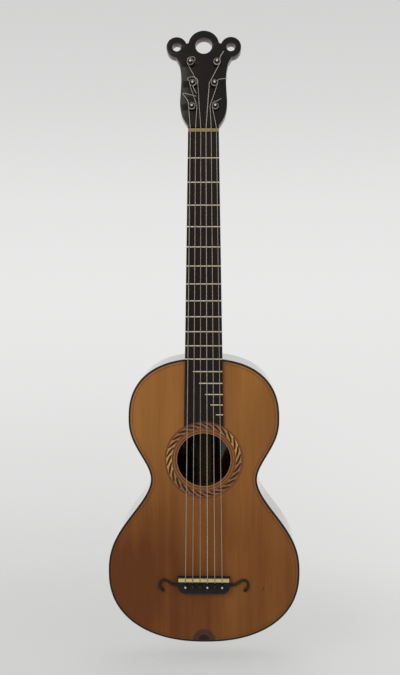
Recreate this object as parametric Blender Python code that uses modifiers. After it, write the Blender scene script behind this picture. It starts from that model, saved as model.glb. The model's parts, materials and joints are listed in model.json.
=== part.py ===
# Six-string romantic guitar with a three-lobed head, friction pegs and a pin bridge.
#
# The guitar is drawn lying on its back, as on a bench: x runs across it towards the thin
# strings, y runs along the strings from the nut (0) towards the head, and z rises out of the
# soundboard, whose face is z = 0. The empty called stand then turns the whole guitar upright
# and puts the origin at the hole in the head's crown.

import math

import bpy
import bmesh
from mathutils import Matrix, Vector

MM = 0.001

# Fits: what every touching pair keeps between its faces, and a joint's running gap.
GAP = 0.3 * MM
PEG_GAP = 0.3 * MM

# Strings
SCALE_LENGTH = 640 * MM
STRING_NAMES = ("e6", "a5", "d4", "g3", "b2", "e1")
STRING_DIAMETERS = (1.10 * MM, 0.95 * MM, 0.85 * MM, 1.00 * MM, 0.82 * MM, 0.72 * MM)
SPREAD_AT_NUT = 36.6 * MM
SPREAD_AT_SADDLE = 53.0 * MM
OVER_FIRST_FRET = 0.4 * MM
OVER_TWELFTH_FRET = 3.25 * MM
STRING_END_BELOW = 5.5 * MM
GROOVE_DEPTH = 0.7 * MM

# Body outline: distances along it from its top edge, and half widths
NECK_TO_BODY_FRET = 12
UPPER_BOUT_ALONG = 87.3 * MM
UPPER_BOUT_HALF = 108.4 * MM
WAIST_ALONG = 175.3 * MM
WAIST_HALF = 76.6 * MM
LOWER_BOUT_ALONG = 313.3 * MM
LOWER_BOUT_HALF = 138.8 * MM
BODY_LENGTH = 416.6 * MM
SHOULDER_FULLNESS = 2.4
TAIL_FULLNESS = 2.25
UPPER_SKEW = 1.25
LOWER_SKEW = 1.3
SHOULDER_STEPS = 8
UPPER_STEPS = 7
LOWER_STEPS = 8
TAIL_STEPS = 8

# Body shell
DEPTH_AT_NECK = 86 * MM
DEPTH_AT_TAIL = 98 * MM
TOP_THICKNESS = 2.8 * MM
BACK_THICKNESS = 2.6 * MM
RIB_THICKNESS = 2.2 * MM
BINDING_WIDTH = 2.0 * MM
BINDING_DEPTH = 3.2 * MM
LINING_WIDTH = 5.0 * MM
FRONT_LINING_DEPTH = 13 * MM
BACK_LINING_DEPTH = 10 * MM
NECK_BLOCK_WIDTH = 62 * MM
NECK_BLOCK_LENGTH = 24 * MM
TAIL_BLOCK_WIDTH = 58 * MM
TAIL_BLOCK_LENGTH = 16 * MM

# Bars inside the body
BAR_WIDTH = 6 * MM
TOP_BAR_HEIGHT = 14 * MM
TOP_BAR_ABOVE_HOLE = 49.6 * MM
TOP_BAR_BELOW_HOLE = 54.4 * MM
BACK_BAR_HEIGHT = 12 * MM
BACK_BARS_ALONG = (70 * MM, 200 * MM, 315 * MM)
SEAM_STRIP_WIDTH = 18 * MM
SEAM_STRIP_HEIGHT = 3 * MM

# Sound hole and rosette
HOLE_ALONG = 146.9 * MM
HOLE_RADIUS = 38.8 * MM
ROSETTE_RADIUS = 56.4 * MM
ROSETTE_THICKNESS = 1.0 * MM

# Neck and fingerboard
NUT_WIDTH = 43.2 * MM
BODY_JOINT_WIDTH = 53.6 * MM
BOARD_THICKNESS = 3.7 * MM
NECK_THICKNESS_AT_NUT = 18 * MM
NECK_THICKNESS_AT_HEEL = 21 * MM
HEEL_LENGTH = 42 * MM
HEEL_ROUNDNESS = 1.5
NECK_ROUNDNESS = 2.3

# Frets
FULL_FRETS = 12
SHORT_FRET_ENDS = (-15.5 * MM, -6.6 * MM, 2.1 * MM, 9.5 * MM, 17.4 * MM)
FRET_WIDTH = 1.9 * MM
FRET_HEIGHT = 1.0 * MM
FRET_INSET = 0.3 * MM
TANG_WIDTH = 0.6 * MM
TANG_DEPTH = 1.3 * MM
SLOT_OVERRUN = 4 * MM

# Nut and saddle
NUT_LENGTH = 5.0 * MM
SADDLE_WIDTH = 4.8 * MM
SADDLE_SPAN = 73.5 * MM
SADDLE_SEAT_DEPTH = 3.0 * MM
SADDLE_AHEAD = 1.0 * MM
SOFT_EDGE = 0.5 * MM

# Bridge
BRIDGE_FRONT_WALL = 1.1 * MM
BRIDGE_END_WALL = 1.0 * MM
BRIDGE_SHOULDER = 11.4 * MM
BRIDGE_LENGTH = 24.4 * MM
BRIDGE_BASE_HALF = 28.0 * MM
BRIDGE_HEIGHT = 8.5 * MM
ARM_RADIUS = 1.9 * MM
ARM_ROOT = 3.6 * MM
ARM_POINTS = (
    # out from the block's side, back from its front edge, thickness against the arm's own
    (-ARM_ROOT, 12.7 * MM, 1.0),
    (5.2 * MM, 12.7 * MM, 1.0),
    (10.8 * MM, 10.0 * MM, 0.95),
    (16.6 * MM, 6.4 * MM, 0.9),
    (22.0 * MM, 5.7 * MM, 0.85),
    (25.5 * MM, 9.0 * MM, 0.8),
    (26.4 * MM, 14.2 * MM, 0.8),
    (24.4 * MM, 18.4 * MM, 1.1),
    (21.6 * MM, 20.3 * MM, 1.35),
    (20.0 * MM, 19.8 * MM, 0.9),
)

# Bridge pins
PIN_WALL = 1.9 * MM
PIN_RADIUS = 2.4 * MM
PIN_TIP_RADIUS = 2.0 * MM
PIN_SHANK = 24 * MM
PIN_HEAD_RADIUS = 3.5 * MM
PIN_HEAD_LIFT = 2.0 * MM

# Head: along and across are measured on its face, from the nut's far side
HEAD_TILT = math.radians(12)
HEAD_THICKNESS = 18 * MM
CROWN_AT = 121.3 * MM
CROWN_RADIUS = 22.0 * MM
CROWN_HOLE_RADIUS = 12.0 * MM
EAR_ACROSS = 38.4 * MM
EAR_AT = 119.4 * MM
EAR_RADIUS = 14.5 * MM
EAR_HOLE_RADIUS = 6.4 * MM
EAR_START = math.radians(-84)
EAR_END = math.radians(160)
CROWN_START = math.radians(10)
HEAD_SIDE = (
    (NUT_WIDTH / 2, -HEAD_THICKNESS / 4),
    (NUT_WIDTH / 2, 4.5 * MM),
    (24.3 * MM, 8.2 * MM),
    (29.6 * MM, 17.5 * MM),
    (32.4 * MM, 28.0 * MM),
    (33.2 * MM, 39.0 * MM),
    (32.4 * MM, 53.0 * MM),
    (31.7 * MM, 69.0 * MM),
    (32.4 * MM, 84.0 * MM),
    (34.8 * MM, 96.0 * MM),
)

# Pegs, in the order of the strings: across and along on the head's face
PEG_PLACES = (
    (-16.5 * MM, 31.0 * MM),
    (-15.5 * MM, 64.7 * MM),
    (-18.9 * MM, 95.6 * MM),
    (18.9 * MM, 95.6 * MM),
    (15.5 * MM, 64.7 * MM),
    (16.5 * MM, 31.0 * MM),
)
PEG_FACE_RADIUS = 3.6 * MM
PEG_REAR_RADIUS = 4.0 * MM
PEG_TIP_RADIUS = 3.3 * MM
PEG_PROTRUSION = 9.8 * MM
PEG_COLLAR_RADIUS = 5.3 * MM
PEG_COLLAR_LENGTH = 3.2 * MM
PEG_KNOB_HALF = 11.5 * MM
PEG_KNOB_LENGTH = 26 * MM
PEG_KNOB_THICKNESS = 7 * MM
PEG_SIDES = 12

# Windings: the string reaches its peg on the left (-1) or right (+1) side
WIND_SIDES = (-1, -1, -1, 1, 1, -1)
WIND_TURNS = 2
WIND_STEPS = 24
WIND_START = 3.2 * MM
WIND_PITCH = 1.7 * MM
WIND_LEAD = 3.6 * MM
PASSING_GAP = 1.2 * MM
# Where a string bends past a lower peg: the peg's number and the side it passes on
PASSES = (None, (0, 1), (1, 1), (4, -1), (5, -1), None)
# Loose ends past the last turn, from the peg's centre: across, along, above the face
LOOSE_ENDS = (
    ((-4.4, 2.4, 7.3), (-5.6, 6.6, 8.3), (-9.0, 11.8, 8.6), (-12.0, 15.9, 8.7), (-11.2, 17.4, 8.7),
     (-8.6, 17.0, 8.7), (-4.2, 15.6, 8.7), (1.0, 14.2, 8.7), (6.2, 12.8, 8.7)),
    ((-4.8, 2.4, 7.2), (-7.0, 3.4, 8.2), (-5.6, 6.2, 8.8), (-1.4, 7.2, 9.2), (3.4, 6.2, 9.6),
     (7.6, 1.6, 10.0), (5.2, -3.2, 10.4), (0.8, -6.4, 10.7), (1.6, -9.4, 10.9), (4.2, -14.6, 11.0),
     (5.4, -17.6, 11.0)),
    ((-3.2, 4.2, 7.0), (0.4, 5.6, 7.8), (4.4, 5.8, 8.4), (6.6, 3.6, 9.0), (6.6, 0.4, 9.8),
     (4.0, -1.4, 10.8), (1.4, 0.2, 11.2), (0.2, 2.6, 11.2)),
    ((4.0, 3.2, 7.1), (4.6, 5.8, 7.9), (6.4, 9.0, 8.5), (8.0, 11.6, 8.8), (9.5, 13.9, 9.0)),
    ((4.6, 2.8, 7.2), (7.0, 4.0, 8.0), (10.8, 4.4, 8.5), (14.4, 4.6, 8.8), (18.0, 4.9, 9.0)),
    ((-2.6, 4.4, 7.1), (0.6, 5.8, 7.9), (4.4, 7.2, 8.4), (8.2, 9.4, 8.8)),
)

CIRCLE_STEPS = 24
PEG_HOLE_STEPS = 16
PIN_HOLE_STEPS = 10

# Colours, roughness and metalness
MATERIALS = {
    "spruce": ((0.45, 0.22, 0.07), 0.38, 0.0),
    "rosewood": ((0.09, 0.035, 0.02), 0.22, 0.0),
    "inner_wood": ((0.55, 0.38, 0.2), 0.7, 0.0),
    "binding": ((0.015, 0.011, 0.009), 0.3, 0.0),
    "inlay": ((0.3, 0.15, 0.06), 0.35, 0.0),
    "neck_wood": ((0.02, 0.012, 0.01), 0.35, 0.0),
    "board": ((0.025, 0.015, 0.013), 0.45, 0.0),
    "fret_metal": ((0.62, 0.58, 0.5), 0.3, 1.0),
    "bone": ((0.78, 0.68, 0.42), 0.45, 0.0),
    "ebony": ((0.014, 0.011, 0.011), 0.35, 0.0),
    "string": ((0.62, 0.55, 0.42), 0.4, 0.0),
}


# Sizes that follow from the driving ones

def fret_distance(number):
    """Equal temperament: each fret shortens the string by the twelfth root of two."""
    return SCALE_LENGTH * (1 - 2 ** (-number / 12))


BODY_TOP = fret_distance(NECK_TO_BODY_FRET) - GAP
BODY_END = BODY_TOP + BODY_LENGTH
LOWER_BOUT_AT = BODY_TOP + LOWER_BOUT_ALONG
HOLE_AT = BODY_TOP + HOLE_ALONG
BACK_SLOPE = math.atan((DEPTH_AT_TAIL - DEPTH_AT_NECK) / BODY_LENGTH)
BOARD_TOP = GAP + BOARD_THICKNESS
FRET_TOP = BOARD_TOP + GAP + FRET_HEIGHT
STRING_OVER_NUT = FRET_TOP + OVER_FIRST_FRET
STRING_OVER_SADDLE = 2 * (FRET_TOP + OVER_TWELFTH_FRET) - STRING_OVER_NUT
NUT_HEIGHT = STRING_OVER_NUT + GROOVE_DEPTH
SADDLE_TOP = STRING_OVER_SADDLE + GROOVE_DEPTH
LINING_FACE = RIB_THICKNESS + GAP
INSIDE_FACE = LINING_FACE + LINING_WIDTH + GAP
TOP_UNDERSIDE = -TOP_THICKNESS - GAP
BOARD_END_RADIUS = ROSETTE_RADIUS + GAP
HEAD_START = NUT_LENGTH + GAP
SADDLE_FRONT = SCALE_LENGTH - SADDLE_AHEAD
SADDLE_REAR = SADDLE_FRONT + SADDLE_WIDTH
BRIDGE_FRONT_AT = SADDLE_FRONT - GAP - BRIDGE_FRONT_WALL
BRIDGE_SIDE_AT = BRIDGE_FRONT_AT + BRIDGE_SHOULDER
BRIDGE_BACK_AT = BRIDGE_FRONT_AT + BRIDGE_LENGTH
BRIDGE_TOP_HALF = SADDLE_SPAN / 2 + GAP + BRIDGE_END_WALL
SLOT_OFFSET = PIN_RADIUS + GAP + max(STRING_DIAMETERS) / 2
PIN_AT = SADDLE_REAR + GAP + PIN_WALL + SLOT_OFFSET + max(STRING_DIAMETERS) / 2 + GAP
PIN_HOLE_RADIUS = (PIN_RADIUS + GAP) / math.cos(math.pi / PIN_HOLE_STEPS)
PEG_HOLE_RADIUS = (PEG_REAR_RADIUS + PEG_GAP) / math.cos(math.pi / PEG_HOLE_STEPS)
WINDING_REACH = PEG_FACE_RADIUS + GAP + max(STRING_DIAMETERS)
PASSING_ROOM = math.hypot(WINDING_REACH, WIND_LEAD) + PASSING_GAP


# Making objects

def clear_scene():
    for obj in list(bpy.data.objects):
        bpy.data.objects.remove(obj, do_unlink=True)


def make_collection(name):
    collection = bpy.data.collections.new(name)
    bpy.context.scene.collection.children.link(collection)
    return collection


def make_material(name):
    colour, roughness, metallic = MATERIALS[name]
    material = bpy.data.materials.new(name)
    material.use_nodes = True
    shader = material.node_tree.nodes["Principled BSDF"]
    shader.inputs["Base Color"].default_value = (*colour, 1.0)
    shader.inputs["Roughness"].default_value = roughness
    shader.inputs["Metallic"].default_value = metallic
    return material


def add_object(name, data, material=None, parent=None, matrix=None):
    obj = bpy.data.objects.new(name, data)
    if material is None:
        cutters.objects.link(obj)
        obj.hide_render = True
        obj.display_type = "WIRE"
    else:
        guitar.objects.link(obj)
        data.materials.append(make_material(material))
    obj.parent = parent or stand
    if matrix is not None:
        obj.matrix_local = matrix
    return obj


def finish_mesh(mesh):
    mesh.shade_smooth()
    mesh.set_sharp_from_angle(angle=math.radians(35))


def box_mesh(low, high):
    mesh = bpy.data.meshes.new("box")
    bm = bmesh.new()
    bmesh.ops.create_cube(bm, size=1.0)
    size = Vector(high) - Vector(low)
    centre = (Vector(high) + Vector(low)) / 2
    bmesh.ops.transform(bm, matrix=Matrix.Translation(centre) @ Matrix.Diagonal((*size, 1.0)), verts=bm.verts)
    bm.to_mesh(mesh)
    bm.free()
    return mesh


def box(name, low, high, material=None, parent=None):
    return add_object(name, box_mesh(low, high), material, parent)


def boxes(name, corners):
    """One cutter of several boxes that stay clear of each other."""
    mesh = bpy.data.meshes.new(name)
    bm = bmesh.new()
    for low, high in corners:
        bm.from_mesh(box_mesh(low, high))
    bm.to_mesh(mesh)
    bm.free()
    return add_object(name, mesh)


def to_mesh(obj):
    """The curve as a mesh whose caps are welded to its sides."""
    bpy.context.view_layer.update()
    depsgraph = bpy.context.evaluated_depsgraph_get()
    mesh = bpy.data.meshes.new_from_object(obj.evaluated_get(depsgraph))
    bm = bmesh.new()
    bm.from_mesh(mesh)
    bmesh.ops.remove_doubles(bm, verts=bm.verts, dist=1e-6)
    bmesh.ops.recalc_face_normals(bm, faces=bm.faces)
    bm.to_mesh(mesh)
    bm.free()
    return mesh


def plate(name, loops, low, high, material=None, parent=None, matrix=None):
    """A flat outline with holes, filled and given its thickness from low to high in z."""
    curve = bpy.data.curves.new(name, "CURVE")
    curve.dimensions = "2D"
    curve.fill_mode = "BOTH"
    curve.extrude = (high - low) / 2
    for loop in loops:
        spline = curve.splines.new("POLY")
        spline.points.add(len(loop) - 1)
        for point, (x, y) in zip(spline.points, loop):
            point.co = (x, y, 0.0, 1.0)
        spline.use_cyclic_u = True
    guide = bpy.data.objects.new(name + "_outline", curve)
    cutters.objects.link(guide)
    mesh = to_mesh(guide)
    bpy.data.objects.remove(guide)
    mesh.transform(Matrix.Translation((0, 0, (low + high) / 2)))
    return add_object(name, mesh, material, parent, matrix)


def tube_curve(name, routes, radius, resolution):
    """Round wire along each route of (x, y, z) points or (x, y, z, thickness) points."""
    curve = bpy.data.curves.new(name, "CURVE")
    curve.dimensions = "3D"
    curve.bevel_depth = radius
    curve.bevel_resolution = resolution
    curve.render_resolution_u = 0
    curve.use_fill_caps = True
    for route in routes:
        spline = curve.splines.new("POLY")
        spline.points.add(len(route) - 1)
        for point, place in zip(spline.points, route):
            point.co = (*place[:3], 1.0)
            point.radius = place[3] if len(place) > 3 else 1.0
    return curve


def loft(name, rings, material, parent=None, matrix=None):
    """A solid through unlike sections: each ring is a list of as many points, the ends are capped."""
    mesh = bpy.data.meshes.new(name)
    bm = bmesh.new()
    rows = [[bm.verts.new(point) for point in ring] for ring in rings]
    for first, second in zip(rows, rows[1:]):
        for i in range(len(first)):
            j = (i + 1) % len(first)
            bm.faces.new((first[i], first[j], second[j], second[i]))
    bm.faces.new(rows[0])
    bm.faces.new(rows[-1])
    bmesh.ops.recalc_face_normals(bm, faces=bm.faces)
    bm.to_mesh(mesh)
    bm.free()
    finish_mesh(mesh)
    return add_object(name, mesh, material, parent, matrix)


def strip(name, line, low, high, thickness, material, closed=False):
    """A bent strip on edge: line is its outer face in plan, low and high give z at each point."""
    mesh = bpy.data.meshes.new(name)
    bm = bmesh.new()
    lower = [bm.verts.new((x, y, low(y))) for x, y in line]
    upper = [bm.verts.new((x, y, high(y))) for x, y in line]
    count = len(line)
    for i in range(count if closed else count - 1):
        j = (i + 1) % count
        bm.faces.new((lower[i], upper[i], upper[j], lower[j]))
    bm.to_mesh(mesh)
    bm.free()
    mesh.shade_smooth()
    obj = add_object(name, mesh, material)
    shell = obj.modifiers.new("thickness", "SOLIDIFY")
    shell.thickness = thickness
    shell.offset = -1.0
    shell.use_even_offset = True
    shell.use_rim = True
    return obj


def cut(obj, cutter, operation="DIFFERENCE"):
    boolean = obj.modifiers.new(cutter.name, "BOOLEAN")
    boolean.operation = operation
    boolean.solver = "EXACT"
    boolean.object = cutter


def soften(obj, width, angle=50):
    bevel = obj.modifiers.new("soft edges", "BEVEL")
    bevel.width = width
    bevel.segments = 1
    bevel.limit_method = "ANGLE"
    bevel.angle_limit = math.radians(angle)


# Plane geometry

def circle(centre, radius, steps, start=0.0):
    turn = 2 * math.pi / steps
    return [
        (centre[0] + radius * math.cos(start + i * turn), centre[1] + radius * math.sin(start + i * turn))
        for i in range(steps)
    ]


def arc(centre, radius, start, end, steps):
    turn = (end - start) / steps
    return [
        (centre[0] + radius * math.cos(start + i * turn), centre[1] + radius * math.sin(start + i * turn))
        for i in range(steps + 1)
    ]


def moved_inward(line, distance, closed=True):
    """The line moved to its right by a distance; it runs clockwise when it closes."""
    moved = []
    count = len(line)
    for i, (x, y) in enumerate(line):
        before = line[i - 1] if closed or i > 0 else line[i]
        after = line[(i + 1) % count] if closed or i < count - 1 else line[i]
        first = Vector((x - before[0], y - before[1]))
        second = Vector((after[0] - x, after[1] - y))
        if first.length == 0:
            first = second
        if second.length == 0:
            second = first
        first.normalize()
        second.normalize()
        along = (first + second).normalized()
        stretch = 1.0 / max(0.5, along.dot(first))
        moved.append((x + along.y * distance * stretch, y - along.x * distance * stretch))
    return moved


def blend(t):
    """Runs from 0 to 1 with level ends."""
    return t * t * (3 - 2 * t)


def rounded_quarter(half_width, length, fullness, t):
    """A point of a full-cheeked quarter ellipse: t runs from its middle (0) to its side (1)."""
    angle = t * math.pi / 2
    across = half_width * math.sin(angle) ** (2 / fullness)
    along = length * (1 - math.cos(angle) ** (2 / fullness))
    return across, along


def half_body():
    """The treble half of the body's outline from top to tail: (half width, distance from the nut)."""
    points = []
    for i in range(SHOULDER_STEPS):
        t = i / SHOULDER_STEPS
        across, along = rounded_quarter(UPPER_BOUT_HALF, UPPER_BOUT_ALONG, SHOULDER_FULLNESS, t)
        points.append((across, BODY_TOP + along))
    for i in range(UPPER_STEPS):
        t = i / UPPER_STEPS
        drawn_in = (UPPER_BOUT_HALF - WAIST_HALF) * blend(t ** UPPER_SKEW)
        along = UPPER_BOUT_ALONG + t * (WAIST_ALONG - UPPER_BOUT_ALONG)
        points.append((UPPER_BOUT_HALF - drawn_in, BODY_TOP + along))
    for i in range(LOWER_STEPS):
        t = i / LOWER_STEPS
        swell = (LOWER_BOUT_HALF - WAIST_HALF) * blend(1 - (1 - t) ** LOWER_SKEW)
        along = WAIST_ALONG + t * (LOWER_BOUT_ALONG - WAIST_ALONG)
        points.append((WAIST_HALF + swell, BODY_TOP + along))
    for i in range(TAIL_STEPS + 1):
        t = 1 - i / TAIL_STEPS
        across, along = rounded_quarter(LOWER_BOUT_HALF, BODY_LENGTH - LOWER_BOUT_ALONG, TAIL_FULLNESS, t)
        points.append((across, BODY_END - along))
    points[-1] = (0.0, BODY_END)
    return points


def body_outline():
    """The whole outline, clockwise from the middle of the top edge."""
    right = [(x, -d) for x, d in half_body()]
    left = [(-x, y) for x, y in reversed(right[1:-1])]
    return right + left


def half_line(inset, clear=0.0):
    """The treble half of the outline, moved inward, from the top's middle to the tail's."""
    line = moved_inward(body_outline(), inset)[: len(half_body())]
    line[0] = (clear, line[0][1])
    line[-1] = (clear, line[-1][1])
    return line


def half_width_at(distance, inset):
    """The half width of the outline, moved inward, at a distance from the nut."""
    line = half_line(inset)
    for (x1, y1), (x2, y2) in zip(line, line[1:]):
        if y2 <= -distance <= y1:
            share = (y1 + distance) / (y1 - y2)
            return x1 + share * (x2 - x1)
    return 0.0


def crossings(line, across):
    """Where a half line crosses a half width: near the top of the body, and near its tail."""
    found = []
    for (x1, y1), (x2, y2) in zip(line, line[1:]):
        if (x1 < across) != (x2 < across):
            share = (across - x1) / (x2 - x1)
            found.append(y1 + share * (y2 - y1))
    return found[0], found[-1]


def back_depth(y):
    """How far the back's outer face lies below the soundboard's face."""
    return DEPTH_AT_NECK + (-y - BODY_TOP) * math.tan(BACK_SLOPE)


def inside_floor(y):
    """The height just clear of the back's inner face."""
    return -back_depth(y) + BACK_THICKNESS / math.cos(BACK_SLOPE) + GAP


def board_half_width(distance):
    return (NUT_WIDTH + (BODY_JOINT_WIDTH - NUT_WIDTH) * distance / BODY_TOP) / 2


def string_across(number, spread):
    return spread * (number / (len(STRING_NAMES) - 1) - 0.5)


def string_radius(number):
    return STRING_DIAMETERS[number] / 2


# Body

def pin_slots():
    """The outline of each bridge pin's hole with the string's slot towards the saddle."""
    loops = []
    for i in range(len(STRING_NAMES)):
        x = string_across(i, SPREAD_AT_SADDLE)
        slot_half = string_radius(i) + GAP
        slot_end = SLOT_OFFSET + string_radius(i) + GAP
        turn = math.asin(slot_half / PIN_HOLE_RADIUS)
        loop = arc((x, -PIN_AT), PIN_HOLE_RADIUS, math.pi / 2 + turn, math.pi * 5 / 2 - turn, PIN_HOLE_STEPS)
        loop += [(x + slot_half, -PIN_AT + slot_end), (x - slot_half, -PIN_AT + slot_end)]
        loops.append(loop)
    return loops


def make_soundboard():
    outline = moved_inward(body_outline(), BINDING_WIDTH + GAP)
    hole = circle((0, -HOLE_AT), HOLE_RADIUS, CIRCLE_STEPS * 2)
    soundboard = plate("soundboard", [outline, hole] + pin_slots(), -TOP_THICKNESS, 0, "spruce")
    recess_loops = [
        circle((0, -HOLE_AT), ROSETTE_RADIUS + GAP, CIRCLE_STEPS * 2),
        circle((0, -HOLE_AT), HOLE_RADIUS - TOP_THICKNESS, CIRCLE_STEPS * 2),
    ]
    recess = plate("rosette_recess", recess_loops, -ROSETTE_THICKNESS - GAP, TOP_THICKNESS)
    cut(soundboard, recess)
    rings = [
        circle((0, -HOLE_AT), ROSETTE_RADIUS, CIRCLE_STEPS * 2),
        circle((0, -HOLE_AT), HOLE_RADIUS, CIRCLE_STEPS * 2),
    ]
    plate("rosette", rings, -ROSETTE_THICKNESS, 0, "inlay")


def make_back():
    # The back lies in its own tilted plane, so its outline starts at the body's top edge.
    outline = [(x, (y + BODY_TOP) / math.cos(BACK_SLOPE)) for x, y in body_outline()]
    tilt = Matrix.Translation((0, -BODY_TOP, -DEPTH_AT_NECK)) @ Matrix.Rotation(BACK_SLOPE, 4, "X")
    plate("back", [outline], 0, BACK_THICKNESS, "rosewood", matrix=tilt)


def make_ribs():
    rib_top = -BINDING_DEPTH - GAP
    for name, side in (("rib_treble", 1), ("rib_bass", -1)):
        line = half_line(0, clear=GAP / 2)
        line = [(side * x, y) for x, y in line]
        if side < 0:
            line.reverse()
        strip(name, line, inside_floor, lambda y: rib_top, RIB_THICKNESS, "rosewood")


def make_binding():
    strip("binding", body_outline(), lambda y: -BINDING_DEPTH, lambda y: 0.0, BINDING_WIDTH, "binding", closed=True)


def make_linings():
    line = moved_inward(body_outline(), LINING_FACE)
    front_low = TOP_UNDERSIDE - FRONT_LINING_DEPTH
    strip("lining_front", line, lambda y: front_low, lambda y: TOP_UNDERSIDE, LINING_WIDTH, "inner_wood", closed=True)
    strip("lining_back", line, inside_floor, lambda y: inside_floor(y) + BACK_LINING_DEPTH, LINING_WIDTH,
          "inner_wood", closed=True)


def block_faces(width):
    """Where a block of this width meets the ribs, and where its notches clear the linings."""
    ribs = crossings(half_line(LINING_FACE), width / 2)
    notches = crossings(half_line(INSIDE_FACE), width / 2)
    return ribs, notches


def make_block(name, width, near, notch, far):
    """A block between soundboard and back with the linings let into its two corners."""
    section = [
        (near, inside_floor(near) + BACK_LINING_DEPTH + GAP),
        (near, TOP_UNDERSIDE - FRONT_LINING_DEPTH - GAP),
        (notch, TOP_UNDERSIDE - FRONT_LINING_DEPTH - GAP),
        (notch, TOP_UNDERSIDE),
        (far, TOP_UNDERSIDE),
        (far, inside_floor(far)),
        (notch, inside_floor(notch)),
        (notch, inside_floor(notch) + BACK_LINING_DEPTH + GAP),
    ]
    loft(name, [[(x, y, z) for y, z in section] for x in (-width / 2, width / 2)], "inner_wood")


def make_blocks():
    ribs, notches = block_faces(NECK_BLOCK_WIDTH)
    make_block("neck_block", NECK_BLOCK_WIDTH, ribs[0], notches[0], ribs[0] - NECK_BLOCK_LENGTH)
    ribs, notches = block_faces(TAIL_BLOCK_WIDTH)
    make_block("tail_block", TAIL_BLOCK_WIDTH, ribs[1], notches[1], ribs[1] + TAIL_BLOCK_LENGTH)


def bar_half_length(distance):
    sides = (distance - BAR_WIDTH / 2, distance, distance + BAR_WIDTH / 2)
    return min(half_width_at(d, INSIDE_FACE) for d in sides) - GAP


def make_top_bar(name, distance):
    half = bar_half_length(distance)
    low = (-half, -distance - BAR_WIDTH / 2, TOP_UNDERSIDE - TOP_BAR_HEIGHT)
    high = (half, -distance + BAR_WIDTH / 2, TOP_UNDERSIDE)
    bar = box(name, low, high, "inner_wood")
    soften(bar, BAR_WIDTH / 5)


def make_back_bars():
    """Three bars across the back and the strip along its seam, glued into one frame."""
    tilt = Matrix.Translation((0, -BODY_TOP, -DEPTH_AT_NECK)) @ Matrix.Rotation(BACK_SLOPE, 4, "X")
    floor = BACK_THICKNESS + GAP
    neck_face = block_faces(NECK_BLOCK_WIDTH)[0][0]
    tail_face = block_faces(TAIL_BLOCK_WIDTH)[0][1]
    strip_start = neck_face + BODY_TOP - NECK_BLOCK_LENGTH - 2 * GAP
    strip_end = tail_face + BODY_TOP + TAIL_BLOCK_LENGTH + 2 * GAP
    half_strip = SEAM_STRIP_WIDTH / 2
    seam_strip = box_mesh((-half_strip, strip_end, floor), (half_strip, strip_start, floor + SEAM_STRIP_HEIGHT))
    frame = add_object("back_bars", seam_strip, "inner_wood", matrix=tilt)
    for i, along in enumerate(BACK_BARS_ALONG):
        half = bar_half_length(BODY_TOP + along)
        middle = -along / math.cos(BACK_SLOPE)
        low = (-half, middle - BAR_WIDTH / 2, floor)
        high = (half, middle + BAR_WIDTH / 2, floor + BACK_BAR_HEIGHT)
        mesh = box_mesh(low, high)
        bar = add_object("back_bar_" + str(i + 1), mesh, matrix=tilt)
        cut(frame, bar, "UNION")


# Neck, fingerboard and frets

def neck_section(distance, half_width, depth, roundness):
    """Flat in front, rounded behind."""
    count = 12
    ring = []
    for i in range(count + 1):
        angle = math.pi * i / count
        across = half_width * math.copysign(abs(math.cos(angle)) ** (2 / roundness), math.cos(angle))
        ring.append((across, -distance, -depth * math.sin(angle) ** (2 / roundness)))
    return ring


def make_neck():
    heel_start = BODY_TOP - HEEL_LENGTH
    growth = (NECK_THICKNESS_AT_HEEL - NECK_THICKNESS_AT_NUT) / heel_start
    rings = []
    for distance in (-NUT_LENGTH, heel_start * 0.33, heel_start * 0.66):
        depth = NECK_THICKNESS_AT_NUT + growth * max(distance, 0)
        rings.append(neck_section(distance, board_half_width(distance), depth, NECK_ROUNDNESS))
    heel_steps = 8
    joint = BODY_TOP - GAP
    for i in range(heel_steps + 1):
        share = i / heel_steps
        distance = heel_start + (joint - heel_start) * share
        drop = (DEPTH_AT_NECK - NECK_THICKNESS_AT_HEEL) * share ** 2.2
        narrowing = (NECK_ROUNDNESS - HEEL_ROUNDNESS) * blend(share)
        rings.append(neck_section(distance, board_half_width(distance), NECK_THICKNESS_AT_HEEL + drop,
                                  NECK_ROUNDNESS - narrowing))
    loft("neck", rings, "neck_wood")


def make_fingerboard():
    """Tapered, and hollowed at its end to follow the rosette."""
    corner = BOARD_END_RADIUS
    for _ in range(12):
        corner_drop = math.sqrt(BOARD_END_RADIUS ** 2 - board_half_width(HOLE_AT - corner) ** 2)
        corner = corner_drop
    start = math.atan2(corner_drop, board_half_width(HOLE_AT - corner_drop))
    outline = [(-board_half_width(0), 0), (board_half_width(0), 0)]
    outline += arc((0, -HOLE_AT), BOARD_END_RADIUS, start, math.pi - start, 10)
    board = plate("fingerboard", [outline], GAP, BOARD_TOP, "board")
    slots = []
    for number in range(1, FULL_FRETS + len(SHORT_FRET_ENDS) + 1):
        left, right = fret_ends(number)
        if number <= FULL_FRETS:
            left -= SLOT_OVERRUN
        y = -fret_distance(number)
        half = TANG_WIDTH / 2 + GAP
        low = (left - GAP, y - half, BOARD_TOP - TANG_DEPTH)
        high = (right + SLOT_OVERRUN, y + half, BOARD_TOP + MM)
        slots.append((low, high))
    cut(board, boxes("fret_slots", slots))


def fret_ends(number):
    right = board_half_width(fret_distance(number)) - FRET_INSET
    if number <= FULL_FRETS:
        return -right, right
    return SHORT_FRET_ENDS[number - FULL_FRETS - 1], right


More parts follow.
